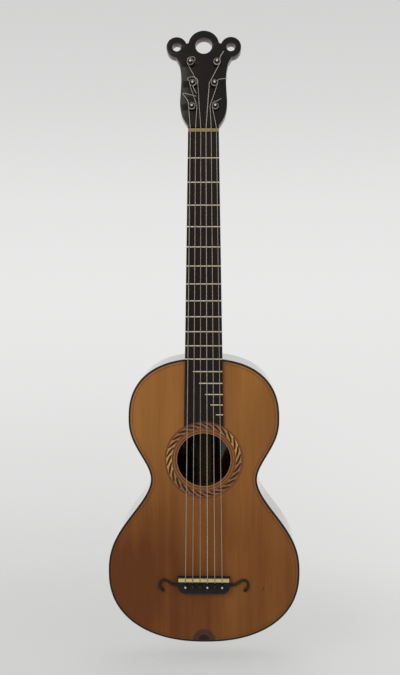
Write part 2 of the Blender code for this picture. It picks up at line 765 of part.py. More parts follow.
def make_frets():
    """Bars of T section: a rounded crown over a tang that sits in the board's slot."""
    crown = [
        (FRET_WIDTH / 2 * math.cos(math.pi * i / 6), FRET_HEIGHT * math.sin(math.pi * i / 6) ** 0.7)
        for i in range(7)
    ]
    tang = [(-TANG_WIDTH / 2, 0), (-TANG_WIDTH / 2, -TANG_DEPTH + GAP), (TANG_WIDTH / 2, -TANG_DEPTH + GAP),
            (TANG_WIDTH / 2, 0)]
    section = crown + tang
    for number in range(1, FULL_FRETS + len(SHORT_FRET_ENDS) + 1):
        left, right = fret_ends(number)
        rings = [[(x, -fret_distance(number) + y, BOARD_TOP + GAP + z) for y, z in section] for x in (left, right)]
        loft("fret_{:02d}".format(number), rings, "fret_metal")


# Nut, saddle, bridge and pins

def string_grooves(name, spread, near, far, bottom, top):
    corners = []
    for i in range(len(STRING_NAMES)):
        x = string_across(i, spread)
        half = string_radius(i) + GAP
        corners.append(((x - half, near, bottom), (x + half, far, top)))
    return boxes(name, corners)


def make_nut():
    half = NUT_WIDTH / 2
    nut = box("nut", (-half, GAP, GAP), (half, NUT_LENGTH, NUT_HEIGHT), "bone")
    soften(nut, SOFT_EDGE)
    cut(nut, string_grooves("nut_grooves", SPREAD_AT_NUT, -MM, NUT_LENGTH + MM, STRING_OVER_NUT - GAP,
                            NUT_HEIGHT + MM))


def make_saddle():
    half = SADDLE_SPAN / 2
    low = (-half, -SADDLE_REAR, BRIDGE_HEIGHT - SADDLE_SEAT_DEPTH + GAP)
    saddle = box("saddle", low, (half, -SADDLE_REAR + SADDLE_WIDTH, SADDLE_TOP), "bone")
    soften(saddle, SOFT_EDGE)
    cut(saddle, string_grooves("saddle_grooves", SPREAD_AT_SADDLE, -SADDLE_REAR - MM,
                               -SADDLE_REAR + SADDLE_WIDTH + MM, STRING_OVER_SADDLE - GAP, SADDLE_TOP + MM))


def bridge_outline():
    """A block with straight shoulders whose sides sweep in to the narrower base."""
    right = [(BRIDGE_TOP_HALF, -BRIDGE_FRONT_AT), (BRIDGE_TOP_HALF, -BRIDGE_SIDE_AT)]
    sweep = 5
    for i in range(1, sweep + 1):
        angle = math.pi / 2 * i / sweep
        across = BRIDGE_BASE_HALF + (BRIDGE_TOP_HALF - BRIDGE_BASE_HALF) * math.cos(angle)
        along = BRIDGE_SIDE_AT + (BRIDGE_BACK_AT - BRIDGE_SIDE_AT) * math.sin(angle)
        right.append((across, -along))
    return right + [(-x, y) for x, y in reversed(right)]


def make_bridge():
    bridge = plate("bridge", [bridge_outline()], GAP, BRIDGE_HEIGHT, "ebony")
    for name, side in (("arm_treble", 1), ("arm_bass", -1)):
        route = [
            (side * (BRIDGE_TOP_HALF + out), -BRIDGE_FRONT_AT - back, GAP + ARM_RADIUS, thickness)
            for out, back, thickness in ARM_POINTS
        ]
        guide = bpy.data.objects.new(name + "_route", tube_curve(name, [route], ARM_RADIUS, 2))
        cutters.objects.link(guide)
        mesh = to_mesh(guide)
        bpy.data.objects.remove(guide)
        # The scrolls are carved flat underneath: the thick bulb doesn't reach below the block.
        for vertex in mesh.vertices:
            vertex.co.z = max(vertex.co.z, GAP)
        cut(bridge, add_object(name, mesh), "UNION")
    seat_half = SADDLE_SPAN / 2 + GAP
    seat = box("saddle_seat", (-seat_half, -SADDLE_REAR - GAP, BRIDGE_HEIGHT - SADDLE_SEAT_DEPTH),
               (seat_half, -SADDLE_REAR + SADDLE_WIDTH + GAP, SADDLE_TOP + MM))
    cut(bridge, seat)
    cut(bridge, plate("pin_slots", pin_slots(), -MM, SADDLE_TOP + MM))


def pin_profile():
    """Height and radius down the pin's outer side, from the top of its ball to its tip."""
    ball_middle = PIN_HEAD_LIFT + PIN_HEAD_RADIUS
    profile = [(ball_middle + PIN_HEAD_RADIUS * math.cos(math.radians(a)), PIN_HEAD_RADIUS * math.sin(math.radians(a)))
               for a in (0, 30, 60, 90, 125)]
    profile += [(PIN_HEAD_LIFT, PIN_RADIUS), (0.0, PIN_RADIUS), (-PIN_SHANK, PIN_TIP_RADIUS), (-PIN_SHANK, 0.0)]
    return profile


def make_pins():
    profile = pin_profile()
    for i, string in enumerate(STRING_NAMES):
        mesh = bpy.data.meshes.new("pin_profile")
        mesh.from_pydata([(radius, 0, z) for z, radius in profile], [(k, k + 1) for k in range(len(profile) - 1)], [])
        place = Matrix.Translation((string_across(i, SPREAD_AT_SADDLE), -PIN_AT, BRIDGE_HEIGHT))
        pin = add_object("bridge_pin_" + string, mesh, "ebony", matrix=place)
        turned = pin.modifiers.new("turned", "SCREW")
        turned.steps = 10
        turned.render_steps = 10
        turned.use_merge_vertices = True
        turned.merge_threshold = 0.00001
        turned.use_smooth_shade = True


# Head, pegs and strings

def head_side():
    """The treble half of the head's outline, from its foot up to the middle of the crown."""
    side = list(HEAD_SIDE)
    side += arc((EAR_ACROSS, EAR_AT), EAR_RADIUS, EAR_START, EAR_END, 12)
    side += arc((0, CROWN_AT), CROWN_RADIUS, CROWN_START, math.pi / 2, 8)
    return side


def make_head():
    right = head_side()
    outline = right + [(-x, y) for x, y in reversed(right[:-1])]
    holes = [circle((0, CROWN_AT), CROWN_HOLE_RADIUS, CIRCLE_STEPS)]
    holes += [circle((side * EAR_ACROSS, EAR_AT), EAR_HOLE_RADIUS, PEG_HOLE_STEPS) for side in (1, -1)]
    holes += [circle(place, PEG_HOLE_RADIUS, PEG_HOLE_STEPS) for place in PEG_PLACES]
    head = plate("head", [outline] + holes, -HEAD_THICKNESS, 0, "neck_wood", parent=head_frame)
    neck_side = box("head_foot", (-NUT_WIDTH, -NUT_WIDTH, -2 * HEAD_THICKNESS), (NUT_WIDTH, HEAD_START, HEAD_THICKNESS))
    cut(head, neck_side)


def peg_rings():
    """Sections down the peg: height, half width across, half width along."""
    rear = -HEAD_THICKNESS - GAP
    collar = rear - PEG_COLLAR_LENGTH
    slim = PEG_KNOB_THICKNESS / 2
    sections = [
        (PEG_PROTRUSION, PEG_TIP_RADIUS * 0.72, PEG_TIP_RADIUS * 0.72),
        (PEG_PROTRUSION - 0.8 * MM, PEG_TIP_RADIUS, PEG_TIP_RADIUS),
        (0, PEG_FACE_RADIUS, PEG_FACE_RADIUS),
        (rear, PEG_REAR_RADIUS, PEG_REAR_RADIUS),
        (rear - GAP, PEG_COLLAR_RADIUS, PEG_COLLAR_RADIUS),
        (collar, PEG_COLLAR_RADIUS, PEG_COLLAR_RADIUS),
        (collar - 2 * MM, slim, slim * 1.2),
    ]
    for share, width in ((0.2, 0.62), (0.4, 0.92), (0.62, 1.0), (0.85, 0.78), (1.0, 0.36)):
        thin = slim * (1 - 0.35 * share)
        sections.append((collar - 2 * MM - PEG_KNOB_LENGTH * share, thin, PEG_KNOB_HALF * width))
    return [
        [(across * x, along * y, z) for x, y in circle((0, 0), 1, PEG_SIDES, math.pi / PEG_SIDES)]
        for z, across, along in sections
    ]


def make_pegs():
    pegs = []
    for string, (across, along) in zip(STRING_NAMES, PEG_PLACES):
        peg = loft("peg_" + string, peg_rings(), "ebony", parent=head_frame,
                   matrix=Matrix.Translation((across, along, 0)))
        pegs.append(peg)
    return pegs


def winding_radius(number):
    return PEG_FACE_RADIUS + GAP + string_radius(number)


def to_bench(point):
    """A point on the head, across, along and above its face, in the bench frame."""
    return head_matrix @ Vector(point)


def run_points(number):
    """The string from its slot in the bridge over saddle and nut to where its winding takes over.

    Returns the run in the bench frame, and the winding's first point and direction on the head.
    """
    r = string_radius(number)
    at_saddle = string_across(number, SPREAD_AT_SADDLE)
    at_nut = string_across(number, SPREAD_AT_NUT)
    over_saddle = STRING_OVER_SADDLE + r
    over_nut = STRING_OVER_NUT + r
    points = [
        Vector((at_saddle, -PIN_AT + SLOT_OFFSET, -TOP_THICKNESS - STRING_END_BELOW)),
        Vector((at_saddle, -PIN_AT + SLOT_OFFSET, BRIDGE_HEIGHT + 0.3 * MM)),
        Vector((at_saddle, -SADDLE_REAR - 0.6 * MM, over_saddle - 0.1 * MM)),
        Vector((at_saddle, -SADDLE_REAR + 0.8 * MM, over_saddle)),
        Vector((at_nut, 0.0, over_nut)),
        Vector((at_nut, NUT_LENGTH + 0.5 * MM, over_nut)),
    ]
    peg = Vector(PEG_PLACES[number])
    start = head_matrix.inverted() @ points[-1]
    corners = [start]
    if PASSES[number]:
        passed, side = PASSES[number]
        beside = Vector(PEG_PLACES[passed])
        corners.append(Vector((beside.x + side * PASSING_ROOM, beside.y, 0)))
    radius = winding_radius(number)
    last = corners[-1].xy
    towards = last - peg
    angle = math.atan2(towards.y, towards.x) + WIND_SIDES[number] * math.acos(radius / towards.length)
    touch = Vector((peg.x + radius * math.cos(angle), peg.y + radius * math.sin(angle), WIND_START))
    corners.append(touch)
    lengths = [(b.xy - a.xy).length for a, b in zip(corners, corners[1:])]
    walked = 0.0
    for corner, length in zip(corners[1:-1], lengths):
        walked += length
        corner.z = start.z + (touch.z - start.z) * walked / sum(lengths)
    along = (corners[-1] - corners[-2]).normalized()
    end = touch - along * (WIND_LEAD + GAP)
    points += [to_bench(corner) for corner in corners[1:-1]] + [to_bench(end)]
    return points, touch, along, angle


def winding_points(number):
    """Lead-in, turns and loose end in the peg's frame: one unbroken wire."""
    _, touch, along, start_angle = run_points(number)
    peg = Vector((*PEG_PLACES[number], 0))
    radius = winding_radius(number)
    side = WIND_SIDES[number]
    points = [touch - along * WIND_LEAD - peg, touch - along * (WIND_LEAD / 2) - peg]
    loose = [Vector(p) * MM for p in LOOSE_ENDS[number]]
    leave_angle = math.atan2(loose[0].y, loose[0].x)
    extra = (side * (leave_angle - start_angle)) % (2 * math.pi)
    total = 2 * math.pi * WIND_TURNS + extra - math.radians(25)
    steps = round(total / (2 * math.pi) * WIND_STEPS)
    for i in range(steps + 1):
        turned = total * i / steps
        angle = start_angle + side * turned
        height = WIND_START + WIND_PITCH * turned / (2 * math.pi)
        points.append(Vector((radius * math.cos(angle), radius * math.sin(angle), height)))
    return points + loose


def least_gap_to_itself(points, thickness):
    """The least distance between stretches of a wire more than three thicknesses apart along it."""
    distance_along = [0.0]
    for a, b in zip(points, points[1:]):
        distance_along.append(distance_along[-1] + (b - a).length)
    least = math.inf
    for i, a in enumerate(points):
        for j in range(i + 1, len(points)):
            if distance_along[j] - distance_along[i] > 3 * thickness + 2 * MM:
                least = min(least, (points[j] - a).length - thickness)
    return least


def make_strings(pegs):
    for i, string in enumerate(STRING_NAMES):
        run = run_points(i)[0]
        add_object("string_" + string, tube_curve("string_" + string, [run], string_radius(i), 2), "string")
        wound = winding_points(i)
        curve = tube_curve("winding_" + string, [wound], string_radius(i), 1)
        add_object("winding_" + string, curve, "string", parent=pegs[i])
        gap = least_gap_to_itself(wound, STRING_DIAMETERS[i])
        print("winding_{}: least gap to itself {:.2f} mm, turns {}".format(string, gap / MM, WIND_TURNS))


def print_places(pegs):
    """World places of the joints and faces that others build on."""
    bpy.context.view_layer.update()
    for string, peg in zip(STRING_NAMES, pegs):
        place = peg.matrix_world.translation
        axis = peg.matrix_world.to_3x3() @ Vector((0, 0, 1))
        print("peg_{}: at {:.5f} {:.5f} {:.5f} axis {:.6f} {:.6f} {:.6f}".format(string, *place, *axis))
    middle = Vector((0, -LOWER_BOUT_AT, -back_depth(-LOWER_BOUT_AT)))
    face = stand.matrix_world @ middle
    normal = stand.matrix_world.to_3x3() @ Vector((0, math.sin(BACK_SLOPE), -math.cos(BACK_SLOPE)))
    print("back face: at {:.5f} {:.5f} {:.5f} normal {:.6f} {:.6f} {:.6f}".format(*face, *normal))


clear_scene()
guitar = make_collection("romantic_guitar")
cutters = make_collection("cutters")

# Head frame: x across, y up along the head's face, z out of it
head_matrix = Matrix.Translation((0, HEAD_START, 0)) @ Matrix.Rotation(-HEAD_TILT, 4, "X")
upright = Matrix.Rotation(math.radians(90), 4, "X")
crown_middle = head_matrix @ Vector((0, CROWN_AT, -HEAD_THICKNESS / 2))

stand = bpy.data.objects.new("stand", None)
guitar.objects.link(stand)
stand.matrix_world = upright @ Matrix.Translation(-crown_middle)
head_frame = bpy.data.objects.new("head_frame", None)
guitar.objects.link(head_frame)
head_frame.parent = stand
head_frame.matrix_local = head_matrix

make_soundboard()
make_back()
make_ribs()
make_binding()
make_linings()
make_blocks()
make_top_bar("top_bar_upper", HOLE_AT - TOP_BAR_ABOVE_HOLE)
make_top_bar("top_bar_lower", HOLE_AT + TOP_BAR_BELOW_HOLE)
make_back_bars()
make_neck()
make_fingerboard()
make_frets()
make_nut()
make_saddle()
make_bridge()
make_pins()
make_head()
all_pegs = make_pegs()
make_strings(all_pegs)
print_places(all_pegs)
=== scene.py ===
import json
import math

import bmesh
import bpy
import numpy as np
from mathutils import Matrix, Vector


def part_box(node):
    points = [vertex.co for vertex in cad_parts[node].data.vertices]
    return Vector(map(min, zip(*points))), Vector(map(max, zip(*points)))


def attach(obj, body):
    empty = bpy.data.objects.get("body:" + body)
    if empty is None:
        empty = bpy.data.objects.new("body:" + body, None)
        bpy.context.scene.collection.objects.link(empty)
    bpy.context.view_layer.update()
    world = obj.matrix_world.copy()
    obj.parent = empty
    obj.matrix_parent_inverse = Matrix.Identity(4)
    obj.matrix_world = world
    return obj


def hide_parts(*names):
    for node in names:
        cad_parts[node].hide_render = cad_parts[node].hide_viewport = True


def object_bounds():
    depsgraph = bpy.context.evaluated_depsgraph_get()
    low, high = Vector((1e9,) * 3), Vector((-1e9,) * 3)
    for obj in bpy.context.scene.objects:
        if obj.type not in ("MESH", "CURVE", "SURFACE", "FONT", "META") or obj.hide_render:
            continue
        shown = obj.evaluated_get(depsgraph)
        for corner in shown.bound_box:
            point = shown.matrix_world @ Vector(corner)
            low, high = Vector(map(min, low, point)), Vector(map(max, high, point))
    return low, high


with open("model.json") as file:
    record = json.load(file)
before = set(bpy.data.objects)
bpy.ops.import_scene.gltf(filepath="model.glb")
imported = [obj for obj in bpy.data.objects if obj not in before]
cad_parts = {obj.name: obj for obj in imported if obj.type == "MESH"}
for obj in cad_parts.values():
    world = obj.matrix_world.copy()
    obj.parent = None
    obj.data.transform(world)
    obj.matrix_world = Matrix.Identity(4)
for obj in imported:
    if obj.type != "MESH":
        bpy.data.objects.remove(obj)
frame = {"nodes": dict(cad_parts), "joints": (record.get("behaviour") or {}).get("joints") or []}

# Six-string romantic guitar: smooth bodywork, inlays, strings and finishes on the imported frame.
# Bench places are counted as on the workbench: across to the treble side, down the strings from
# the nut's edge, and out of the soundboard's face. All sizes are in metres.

mm = 0.001
startBox = [list(corner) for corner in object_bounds()]
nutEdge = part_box("fingerboard")[1].z  # height of the nut's edge, where the string length starts
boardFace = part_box("soundboard")[0].y  # depth of the soundboard's face
gap = 0.3 * mm  # the frame's clearance between touching parts
stringNames = ("e6", "a5", "d4", "g3", "b2", "e1")
joints = {joint["name"]: joint for joint in frame["joints"]}


# points and meshes

def onBench(across, down, out):
    # bench place to world place, for numbers or arrays of one shape
    across, down, out = np.broadcast_arrays(across, down, out)
    return np.stack([across, boardFace - out, nutEdge - down], -1).astype(float)


def stacked(*parts):
    # arrays that broadcast to one shape become the columns of points
    return np.stack(np.broadcast_arrays(*parts), -1)


def around(steps):
    # equal turns round a circle, without the last that meets the first
    return np.linspace(0, 2 * np.pi, steps, endpoint=False)


def circle(centre, radius, turn):
    # points at a radius from the centre, by the cosine and sine of their turn
    return stacked(centre[0] + radius * np.cos(turn), centre[1] + radius * np.sin(turn))


def blend(t):
    return t * t * (3 - 2 * t)  # from 0 to 1 with level ends


def runLength(points):
    # distance along a path at each of its points
    steps = np.linalg.norm(np.diff(points, axis=0), axis=1)
    return np.concatenate([[0], np.cumsum(steps)])


def throughPoints(points, perSpan):
    # Catmull-Rom: each span is a cubic through its two points with slopes from their neighbours
    points = np.asarray(points, float)
    padded = np.concatenate([2 * points[:1] - points[1:2], points, 2 * points[-1:] - points[-2:-1]])
    t = np.linspace(0, 1, perSpan, endpoint=False)[None, :, None]
    a, b, c, d = (padded[k:len(padded) - 3 + k][:, None, :] for k in range(4))
    bend, twist = 2 * a - 5 * b + 4 * c - d, 3 * b - a - 3 * c + d
    curve = (2 * b + (c - a) * t + bend * t ** 2 + twist * t ** 3) / 2
    return np.concatenate([curve.reshape(-1, points.shape[1]), points[-1:]])


def gridFaces(rows, columns, closedRows=False, closedColumns=False):
    # quads between neighbours of a grid of points counted row by row
    i = np.arange(rows if closedRows else rows - 1)[:, None]
    j = np.arange(columns if closedColumns else columns - 1)[None, :]
    nextRow = (i + 1) % rows * columns
    nextColumn = (j + 1) % columns
    corners = (i * columns + j, i * columns + nextColumn, nextRow + nextColumn, nextRow + j)
    return np.stack(corners, -1).reshape(-1, 4)


def finishMesh(mesh, sharp=35):
    # welds seams and poles, drops empty faces, points faces outwards
    bm = bmesh.new()
    bm.from_mesh(mesh)
    bmesh.ops.remove_doubles(bm, verts=bm.verts, dist=2e-6)
    bmesh.ops.dissolve_degenerate(bm, edges=bm.edges, dist=1e-6)
    bmesh.ops.recalc_face_normals(bm, faces=bm.faces)
    bm.to_mesh(mesh)
    bm.free()
    mesh.shade_smooth()
    mesh.set_sharp_from_angle(angle=math.radians(sharp))


def linked(name, data):
    thing = bpy.data.objects.new(name, data)
    bpy.context.scene.collection.objects.link(thing)
    return thing


def dress(mesh, material):
    mesh.materials.clear()
    mesh.materials.append(material)


def addPiece(name, mesh, material, body="body", stands=()):
    piece = linked(name, mesh)
    dress(mesh, material)
    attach(piece, body)
    if stands:
        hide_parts(*stands)
    return piece


def surface(name, grid, material, body="body", stands=(), closedRows=False, caps=False, uv=None, sharp=35):
    # grid is rows by columns of points, whose columns close on themselves
    rows, columns = grid.shape[:2]
    faces = gridFaces(rows, columns, closedRows, uv is None).tolist()
    if caps:
        last = columns if uv is None else columns - 1
        faces += [list(range(last)), list(range((rows - 1) * columns, (rows - 1) * columns + last))]
    mesh = bpy.data.meshes.new(name)
    mesh.from_pydata(grid.reshape(-1, 3).tolist(), [], faces)
    if uv is not None:
        corners = np.empty(len(mesh.loops), int)
        mesh.loops.foreach_get("vertex_index", corners)
        layer = mesh.uv_layers.new(name="wrap")
        layer.data.foreach_set("uv", uv.reshape(-1, 2)[corners].ravel())
    finishMesh(mesh, sharp)
    return addPiece(name, mesh, material, body, stands)


def wire(name, path, radius, material, reference, sides=14, body="body", stands=()):
    # a circle carried along the path: its centre follows the path, its plane stays square to it
    tangent = np.gradient(path, axis=0)
    tangent /= np.linalg.norm(tangent, axis=1, keepdims=True)
    first = np.cross(tangent, reference)
    first /= np.linalg.norm(first, axis=1, keepdims=True)
    second = np.cross(tangent, first)
    turn = np.linspace(0, 2 * np.pi, sides + 1)
    radius = np.broadcast_to(radius, len(path))[:, None, None]
    spokes = first[:, None] * np.cos(turn)[None, :, None] + second[:, None] * np.sin(turn)[None, :, None]
    uv = stacked(runLength(path)[:, None], turn[None] / (2 * np.pi))
    return surface(name, path[:, None] + radius * spokes, material, body, stands, caps=True, uv=uv)


def cutPlate(name, loops, low, high, edge, place, material, stands=()):
    # a flat outline with holes, given its thickness and a rounded edge
    curve = bpy.data.curves.new(name, "CURVE")
    curve.dimensions = "2D"
    curve.fill_mode = "BOTH"
    curve.extrude = (high - low) / 2 - edge
    curve.bevel_depth = edge
    curve.bevel_resolution = 2
    curve.offset = -edge
    for loop in loops:
        spline = curve.splines.new("POLY")
        spline.points.add(len(loop) - 1)
        spline.points.foreach_set("co", stacked(loop[:, 0], loop[:, 1], 0.0, 1.0).ravel())
        spline.use_cyclic_u = True
    guide = linked(name + "Guide", curve)
    bpy.context.view_layer.update()
    finished = guide.evaluated_get(bpy.context.evaluated_depsgraph_get())
    mesh = bpy.data.meshes.new_from_object(finished)
    bpy.data.objects.remove(guide)
    mesh.transform(place @ Matrix.Translation((0, 0, (low + high) / 2)))
    finishMesh(mesh)
    return addPiece(name, mesh, material, stands=stands)


def boardMatrix(across, down):
    # stands a flat outline up on the soundboard's face: its own y points up, its own z out
    return Matrix.Translation(onBench(across, down, 0)) @ Matrix.Rotation(math.radians(90), 4, "X")


def addEye(name, centre, half, dome, place, material, body):
    # a pearl eye: rings from its root to the middle of its low dome, given as heights in
    # millimetres, each ring a share of the eye's half width
    shares = np.array([1, 1, 0.88, 0.6, 0.3, 0.01])[:, None]
    rings = circle(centre, half * shares, around(32))
    height = centre[2] + np.array(dome)[:, None] * mm
    surface(name, place(rings[..., 0], rings[..., 1], height), material, body, caps=True)


# shader nodes

def rgb(red, green, blue):
    return (red, green, blue, 1.0)


def addNode(material, kind, inputs=None, **settings):
    # inputs holds a socket to link or a value to set, by the socket's name or number
    tree = material.node_tree
    node = tree.nodes.new("ShaderNode" + kind)
    for key, value in settings.items():
        setattr(node, key, value)
    for key, value in (inputs or {}).items():
        if isinstance(value, bpy.types.NodeSocket):
            tree.links.new(value, node.inputs[key])
        else:
            node.inputs[key].default_value = value
    return node


def calc(material, operation, *values):
    return addNode(material, "Math", dict(enumerate(values)), operation=operation).outputs[0]


def weigh(material, value, factor, offset=0.0):
    return calc(material, "MULTIPLY_ADD", value, factor, offset)


def swing(material, value, amount, onto):
    # adds a noise to a value, so that the noise's middle leaves it as it is
    return weigh(material, calc(material, "SUBTRACT", value, 0.5), amount, onto)


def wave(material, phase):
    # a sine that runs from 0 to 1
    return weigh(material, calc(material, "SINE", phase), 0.5, 0.5)


def reachOf(material, first, second):
    # length of the line whose two square parts are given
    squared = calc(material, "MULTIPLY", second, second)
    return calc(material, "SQRT", weigh(material, first, first, squared))


def offBy(material, value, middle):
    return calc(material, "ABSOLUTE", calc(material, "SUBTRACT", value, middle))


def mapTo(material, value, low, high, first=0.0, last=1.0, smooth=False):
    kind = "SMOOTHSTEP" if smooth else "LINEAR"
    inputs = {"Value": value, "From Min": low, "From Max": high, "To Min": first, "To Max": last}
    return addNode(material, "MapRange", inputs, interpolation_type=kind).outputs["Result"]


def noise(material, scale, detail=3.0, shift=(0, 0, 0)):
    # stretched noise on object coordinates: scale is how many grains to a metre each way
    place = addNode(material, "TexCoord").outputs["Object"]
    moved = {"Vector": place, "Scale": scale, "Location": shift}
    place = addNode(material, "Mapping", moved).outputs[0]
    return addNode(material, "TexNoise", {"Vector": place, "Scale": 1.0, "Detail": detail}).outputs["Fac"]


def objectXYZ(material):
    place = addNode(material, "TexCoord").outputs["Object"]
    return addNode(material, "SeparateXYZ", {0: place}).outputs


def mixColour(material, share, first, second, kind="MIX"):
    inputs = {0: share, 6: first, 7: second}
    return addNode(material, "Mix", inputs, data_type="RGBA", blend_type=kind).outputs[2]


def shaded(material, colour, shade):
    # a colour made darker or lighter by a plain number
    grey = addNode(material, "CombineColor", {0: shade, 1: shade, 2: shade}).outputs[0]
    return mixColour(material, 1.0, colour, grey, "MULTIPLY")


def toneRamp(material, value, tones, kind="LINEAR"):
    # tones holds pairs of a place from 0 to 1 and a colour
    node = addNode(material, "ValToRGB", {0: value})
    node.color_ramp.interpolation = kind
    elements = node.color_ramp.elements
    for element, (place, tone) in zip(elements, (tones[0], tones[-1])):
        element.position, element.color = place, rgb(*tone)
    for place, tone in tones[1:-1]:
        elements.new(place).color = rgb(*tone)
    return node.outputs[0]


paleSheen = 0.12  # how strongly the bare surfaces mirror the pale room


def newMaterial(name, roughness, **extra):
    material = bpy.data.materials.new(name)
    material.use_nodes = True
    settings = {"Roughness": roughness, "Specular_IOR_Level": paleSheen, **extra}
    for key, value in settings.items():
        material.node_tree.nodes["Principled BSDF"].inputs[key.replace("_", " ")].default_value = value
    return material


def drive(material, socket, value):
    # leads a value into the material's own shader
    shader = material.node_tree.nodes["Principled BSDF"]
    material.node_tree.links.new(value, shader.inputs[socket])


def raiseBy(material, height, distance, strength):
    bump = addNode(material, "Bump", {"Height": height, "Distance": distance, "Strength": strength})
    drive(material, "Normal", bump.outputs[0])


def twoTones(material, share, tones):
    drive(material, "Base Color", mixColour(material, share, *tones))


# finishes

# a thin satin varnish over the soundboard and what is let into it
satin = {"Coat_Weight": 0.03, "Coat_Roughness": 0.25}

spruceFinish = {
    "red": rgb(0.098, 0.028, 0.005), "gold": rgb(0.265, 0.108, 0.024),
    "redFrom": 640 * mm, "goldFrom": 390 * mm,  # down the strings: all red, all gold
    "goldBelow": 0.17, "goldGain": 0.62, "leanBelow": 1.9, "leanGain": -2.9,
    "patches": (14, 3, 6), "patchDepth": 0.7, "bands": (52, 3, 1.6), "bandDepth": 0.34,
    "reedSpacing": 1.5 * mm, "reedDepth": 0.16, "reedSway": 30.0, "sway": (22, 2, 2.5),
    "fibres": (900, 60, 16), "fibreDepth": 0.3,
    "checkAcross": 86.5 * mm, "checkDown": 656 * mm, "checkSlant": -0.35,
    "checkHalf": 0.7 * mm, "checkLong": 3.6 * mm, "checkDark": 0.35,
}


def spruceMaterial():
    # tone runs from gold at the upper bout to red-brown at the lower left, with patches and bands
    # of noise; the reeds are a sine across the board, bent by a slow noise
    f = spruceFinish
    material = newMaterial("spruceTop", 0.45, **satin)
    x, _, z = objectXYZ(material)
    level = mapTo(material, z, nutEdge - f["redFrom"], nutEdge - f["goldFrom"], smooth=True)
    lean = weigh(material, level, f["leanGain"], f["leanBelow"])
    tone = weigh(material, level, f["goldGain"], f["goldBelow"])
    tone = weigh(material, x, lean, tone)
    tone = swing(material, noise(material, f["patches"], 2), f["patchDepth"], tone)
    tone = swing(material, noise(material, f["bands"], 3, (7, 0, 0)), f["bandDepth"] * 2, tone)
    tone = addNode(material, "Clamp", {0: tone}).outputs[0]
    colour = mixColour(material, tone, f["red"], f["gold"])
    fibre = noise(material, f["fibres"], 4)
    sway = noise(material, f["sway"], 1, (3, 1, 5))
    straight = calc(material, "MULTIPLY", x, 2 * math.pi / f["reedSpacing"])
    reed = wave(material, weigh(material, sway, f["reedSway"], straight))
    shade = weigh(material, reed, -f["reedDepth"], 1.0 + f["reedDepth"] / 2)
    fibreShade = weigh(material, fibre, f["fibreDepth"] * 2, 1.0 - f["fibreDepth"])
    shade = calc(material, "MULTIPLY", shade, fibreShade)
    # a short dark check in the grain beside the bridge: a slanted oval
    below = calc(material, "ADD", z, f["checkDown"] - nutEdge)
    beside = weigh(material, below, f["checkSlant"], calc(material, "SUBTRACT", x, f["checkAcross"]))
    parts = []
    for value, size in ((beside, f["checkHalf"]), (below, f["checkLong"])):
        share = calc(material, "ABSOLUTE", calc(material, "DIVIDE", value, size))
        parts.append(calc(material, "POWER", share, 2))
    away = calc(material, "ADD", *parts)
    shade = calc(material, "MULTIPLY", shade, mapTo(material, away, 0.3, 1.6, f["checkDark"], 1.0, True))
    drive(material, "Base Color", shaded(material, colour, shade))
    raiseBy(material, calc(material, "ADD", reed, fibre), 0.03 * mm, 0.5)
    return material


rosewoodFinish = {
    "dark": rgb(0.005, 0.0022, 0.0018), "pale": rgb(0.034, 0.012, 0.007), "seam": rgb(0.006, 0.004, 0.003),
    "grain": (420, 420, 9), "bands": (60, 60, 3), "seamHalf": 0.7 * mm,
}


def rosewoodMaterial(name, seam=False):
    # dark straight grain under a high polish
    f = rosewoodFinish
    material = newMaterial(name, 0.22, Coat_Weight=0.75, Coat_Roughness=0.08)
    grain = noise(material, f["grain"], 4)
    band = noise(material, f["bands"], 2, (2, 4, 0))
    share = weigh(material, band, 0.7, weigh(material, grain, 0.6, -0.2))
    colour = mixColour(material, share, f["dark"], f["pale"])
    if seam:
        x = objectXYZ(material)[0]
        clear = mapTo(material, calc(material, "ABSOLUTE", x), f["seamHalf"], f["seamHalf"] + 0.2 * mm)
        colour = mixColour(material, clear, f["seam"], colour)
    drive(material, "Base Color", colour)
    raiseBy(material, grain, 0.02 * mm, 0.3)
    return material


ebonyTones = (rgb(0.004, 0.0035, 0.0035), rgb(0.017, 0.013, 0.012))


def ebonyMaterial(name, roughness):
    # close black grain, its polish a little uneven
    material = newMaterial(name, roughness, Coat_Weight=0.03, Coat_Roughness=0.2)
    grain = noise(material, (700, 200, 60), 3)
    twoTones(material, grain, ebonyTones)
    worn = noise(material, (90, 90, 90), 3)
    drive(material, "Roughness", mapTo(material, worn, 0.3, 0.7, roughness - 0.06, roughness + 0.12))
    raiseBy(material, grain, 0.02 * mm, 0.4)
    return material


neckTones = (rgb(0.004, 0.003, 0.0028), rgb(0.016, 0.01, 0.008))


def blackWoodMaterial(name):
    material = newMaterial(name, 0.3, Coat_Weight=0.25, Coat_Roughness=0.12)
    grain = noise(material, (350, 350, 12), 3)
    twoTones(material, grain, neckTones)
    raiseBy(material, grain, 0.02 * mm, 0.4)
    return material


headFinish = {
    "veneer": 1.0 * mm, "grain": (260, 260, 14),
    "face": (rgb(0.0035, 0.003, 0.0028), rgb(0.0065, 0.0048, 0.004)),
    "wall": (rgb(0.03, 0.01, 0.007), rgb(0.062, 0.021, 0.014)),
}


def headMaterial():
    # black on the face, red-brown where the sawn walls run back from it
    f = headFinish
    material = newMaterial("headPolish", 0.24, Coat_Weight=0.08, Coat_Roughness=0.1)
    place = addNode(material, "TexCoord").outputs["Object"]
    along = {0: place, 1: tuple(headOut)}
    depth = addNode(material, "VectorMath", along, operation="DOT_PRODUCT").outputs["Value"]
    facePlane = float(headOrigin @ headOut)
    wall = mapTo(material, depth, facePlane - f["veneer"], facePlane - f["veneer"] / 2, 1.0, 0.0, True)
    grain = noise(material, f["grain"], 3)
    twoTones(material, wall, [mixColour(material, grain, *f[part]) for part in ("face", "wall")])
    raiseBy(material, grain, 0.02 * mm, 0.35)
    return material


fingerboardTones = (rgb(0.003, 0.0022, 0.002), rgb(0.013, 0.008, 0.0065))


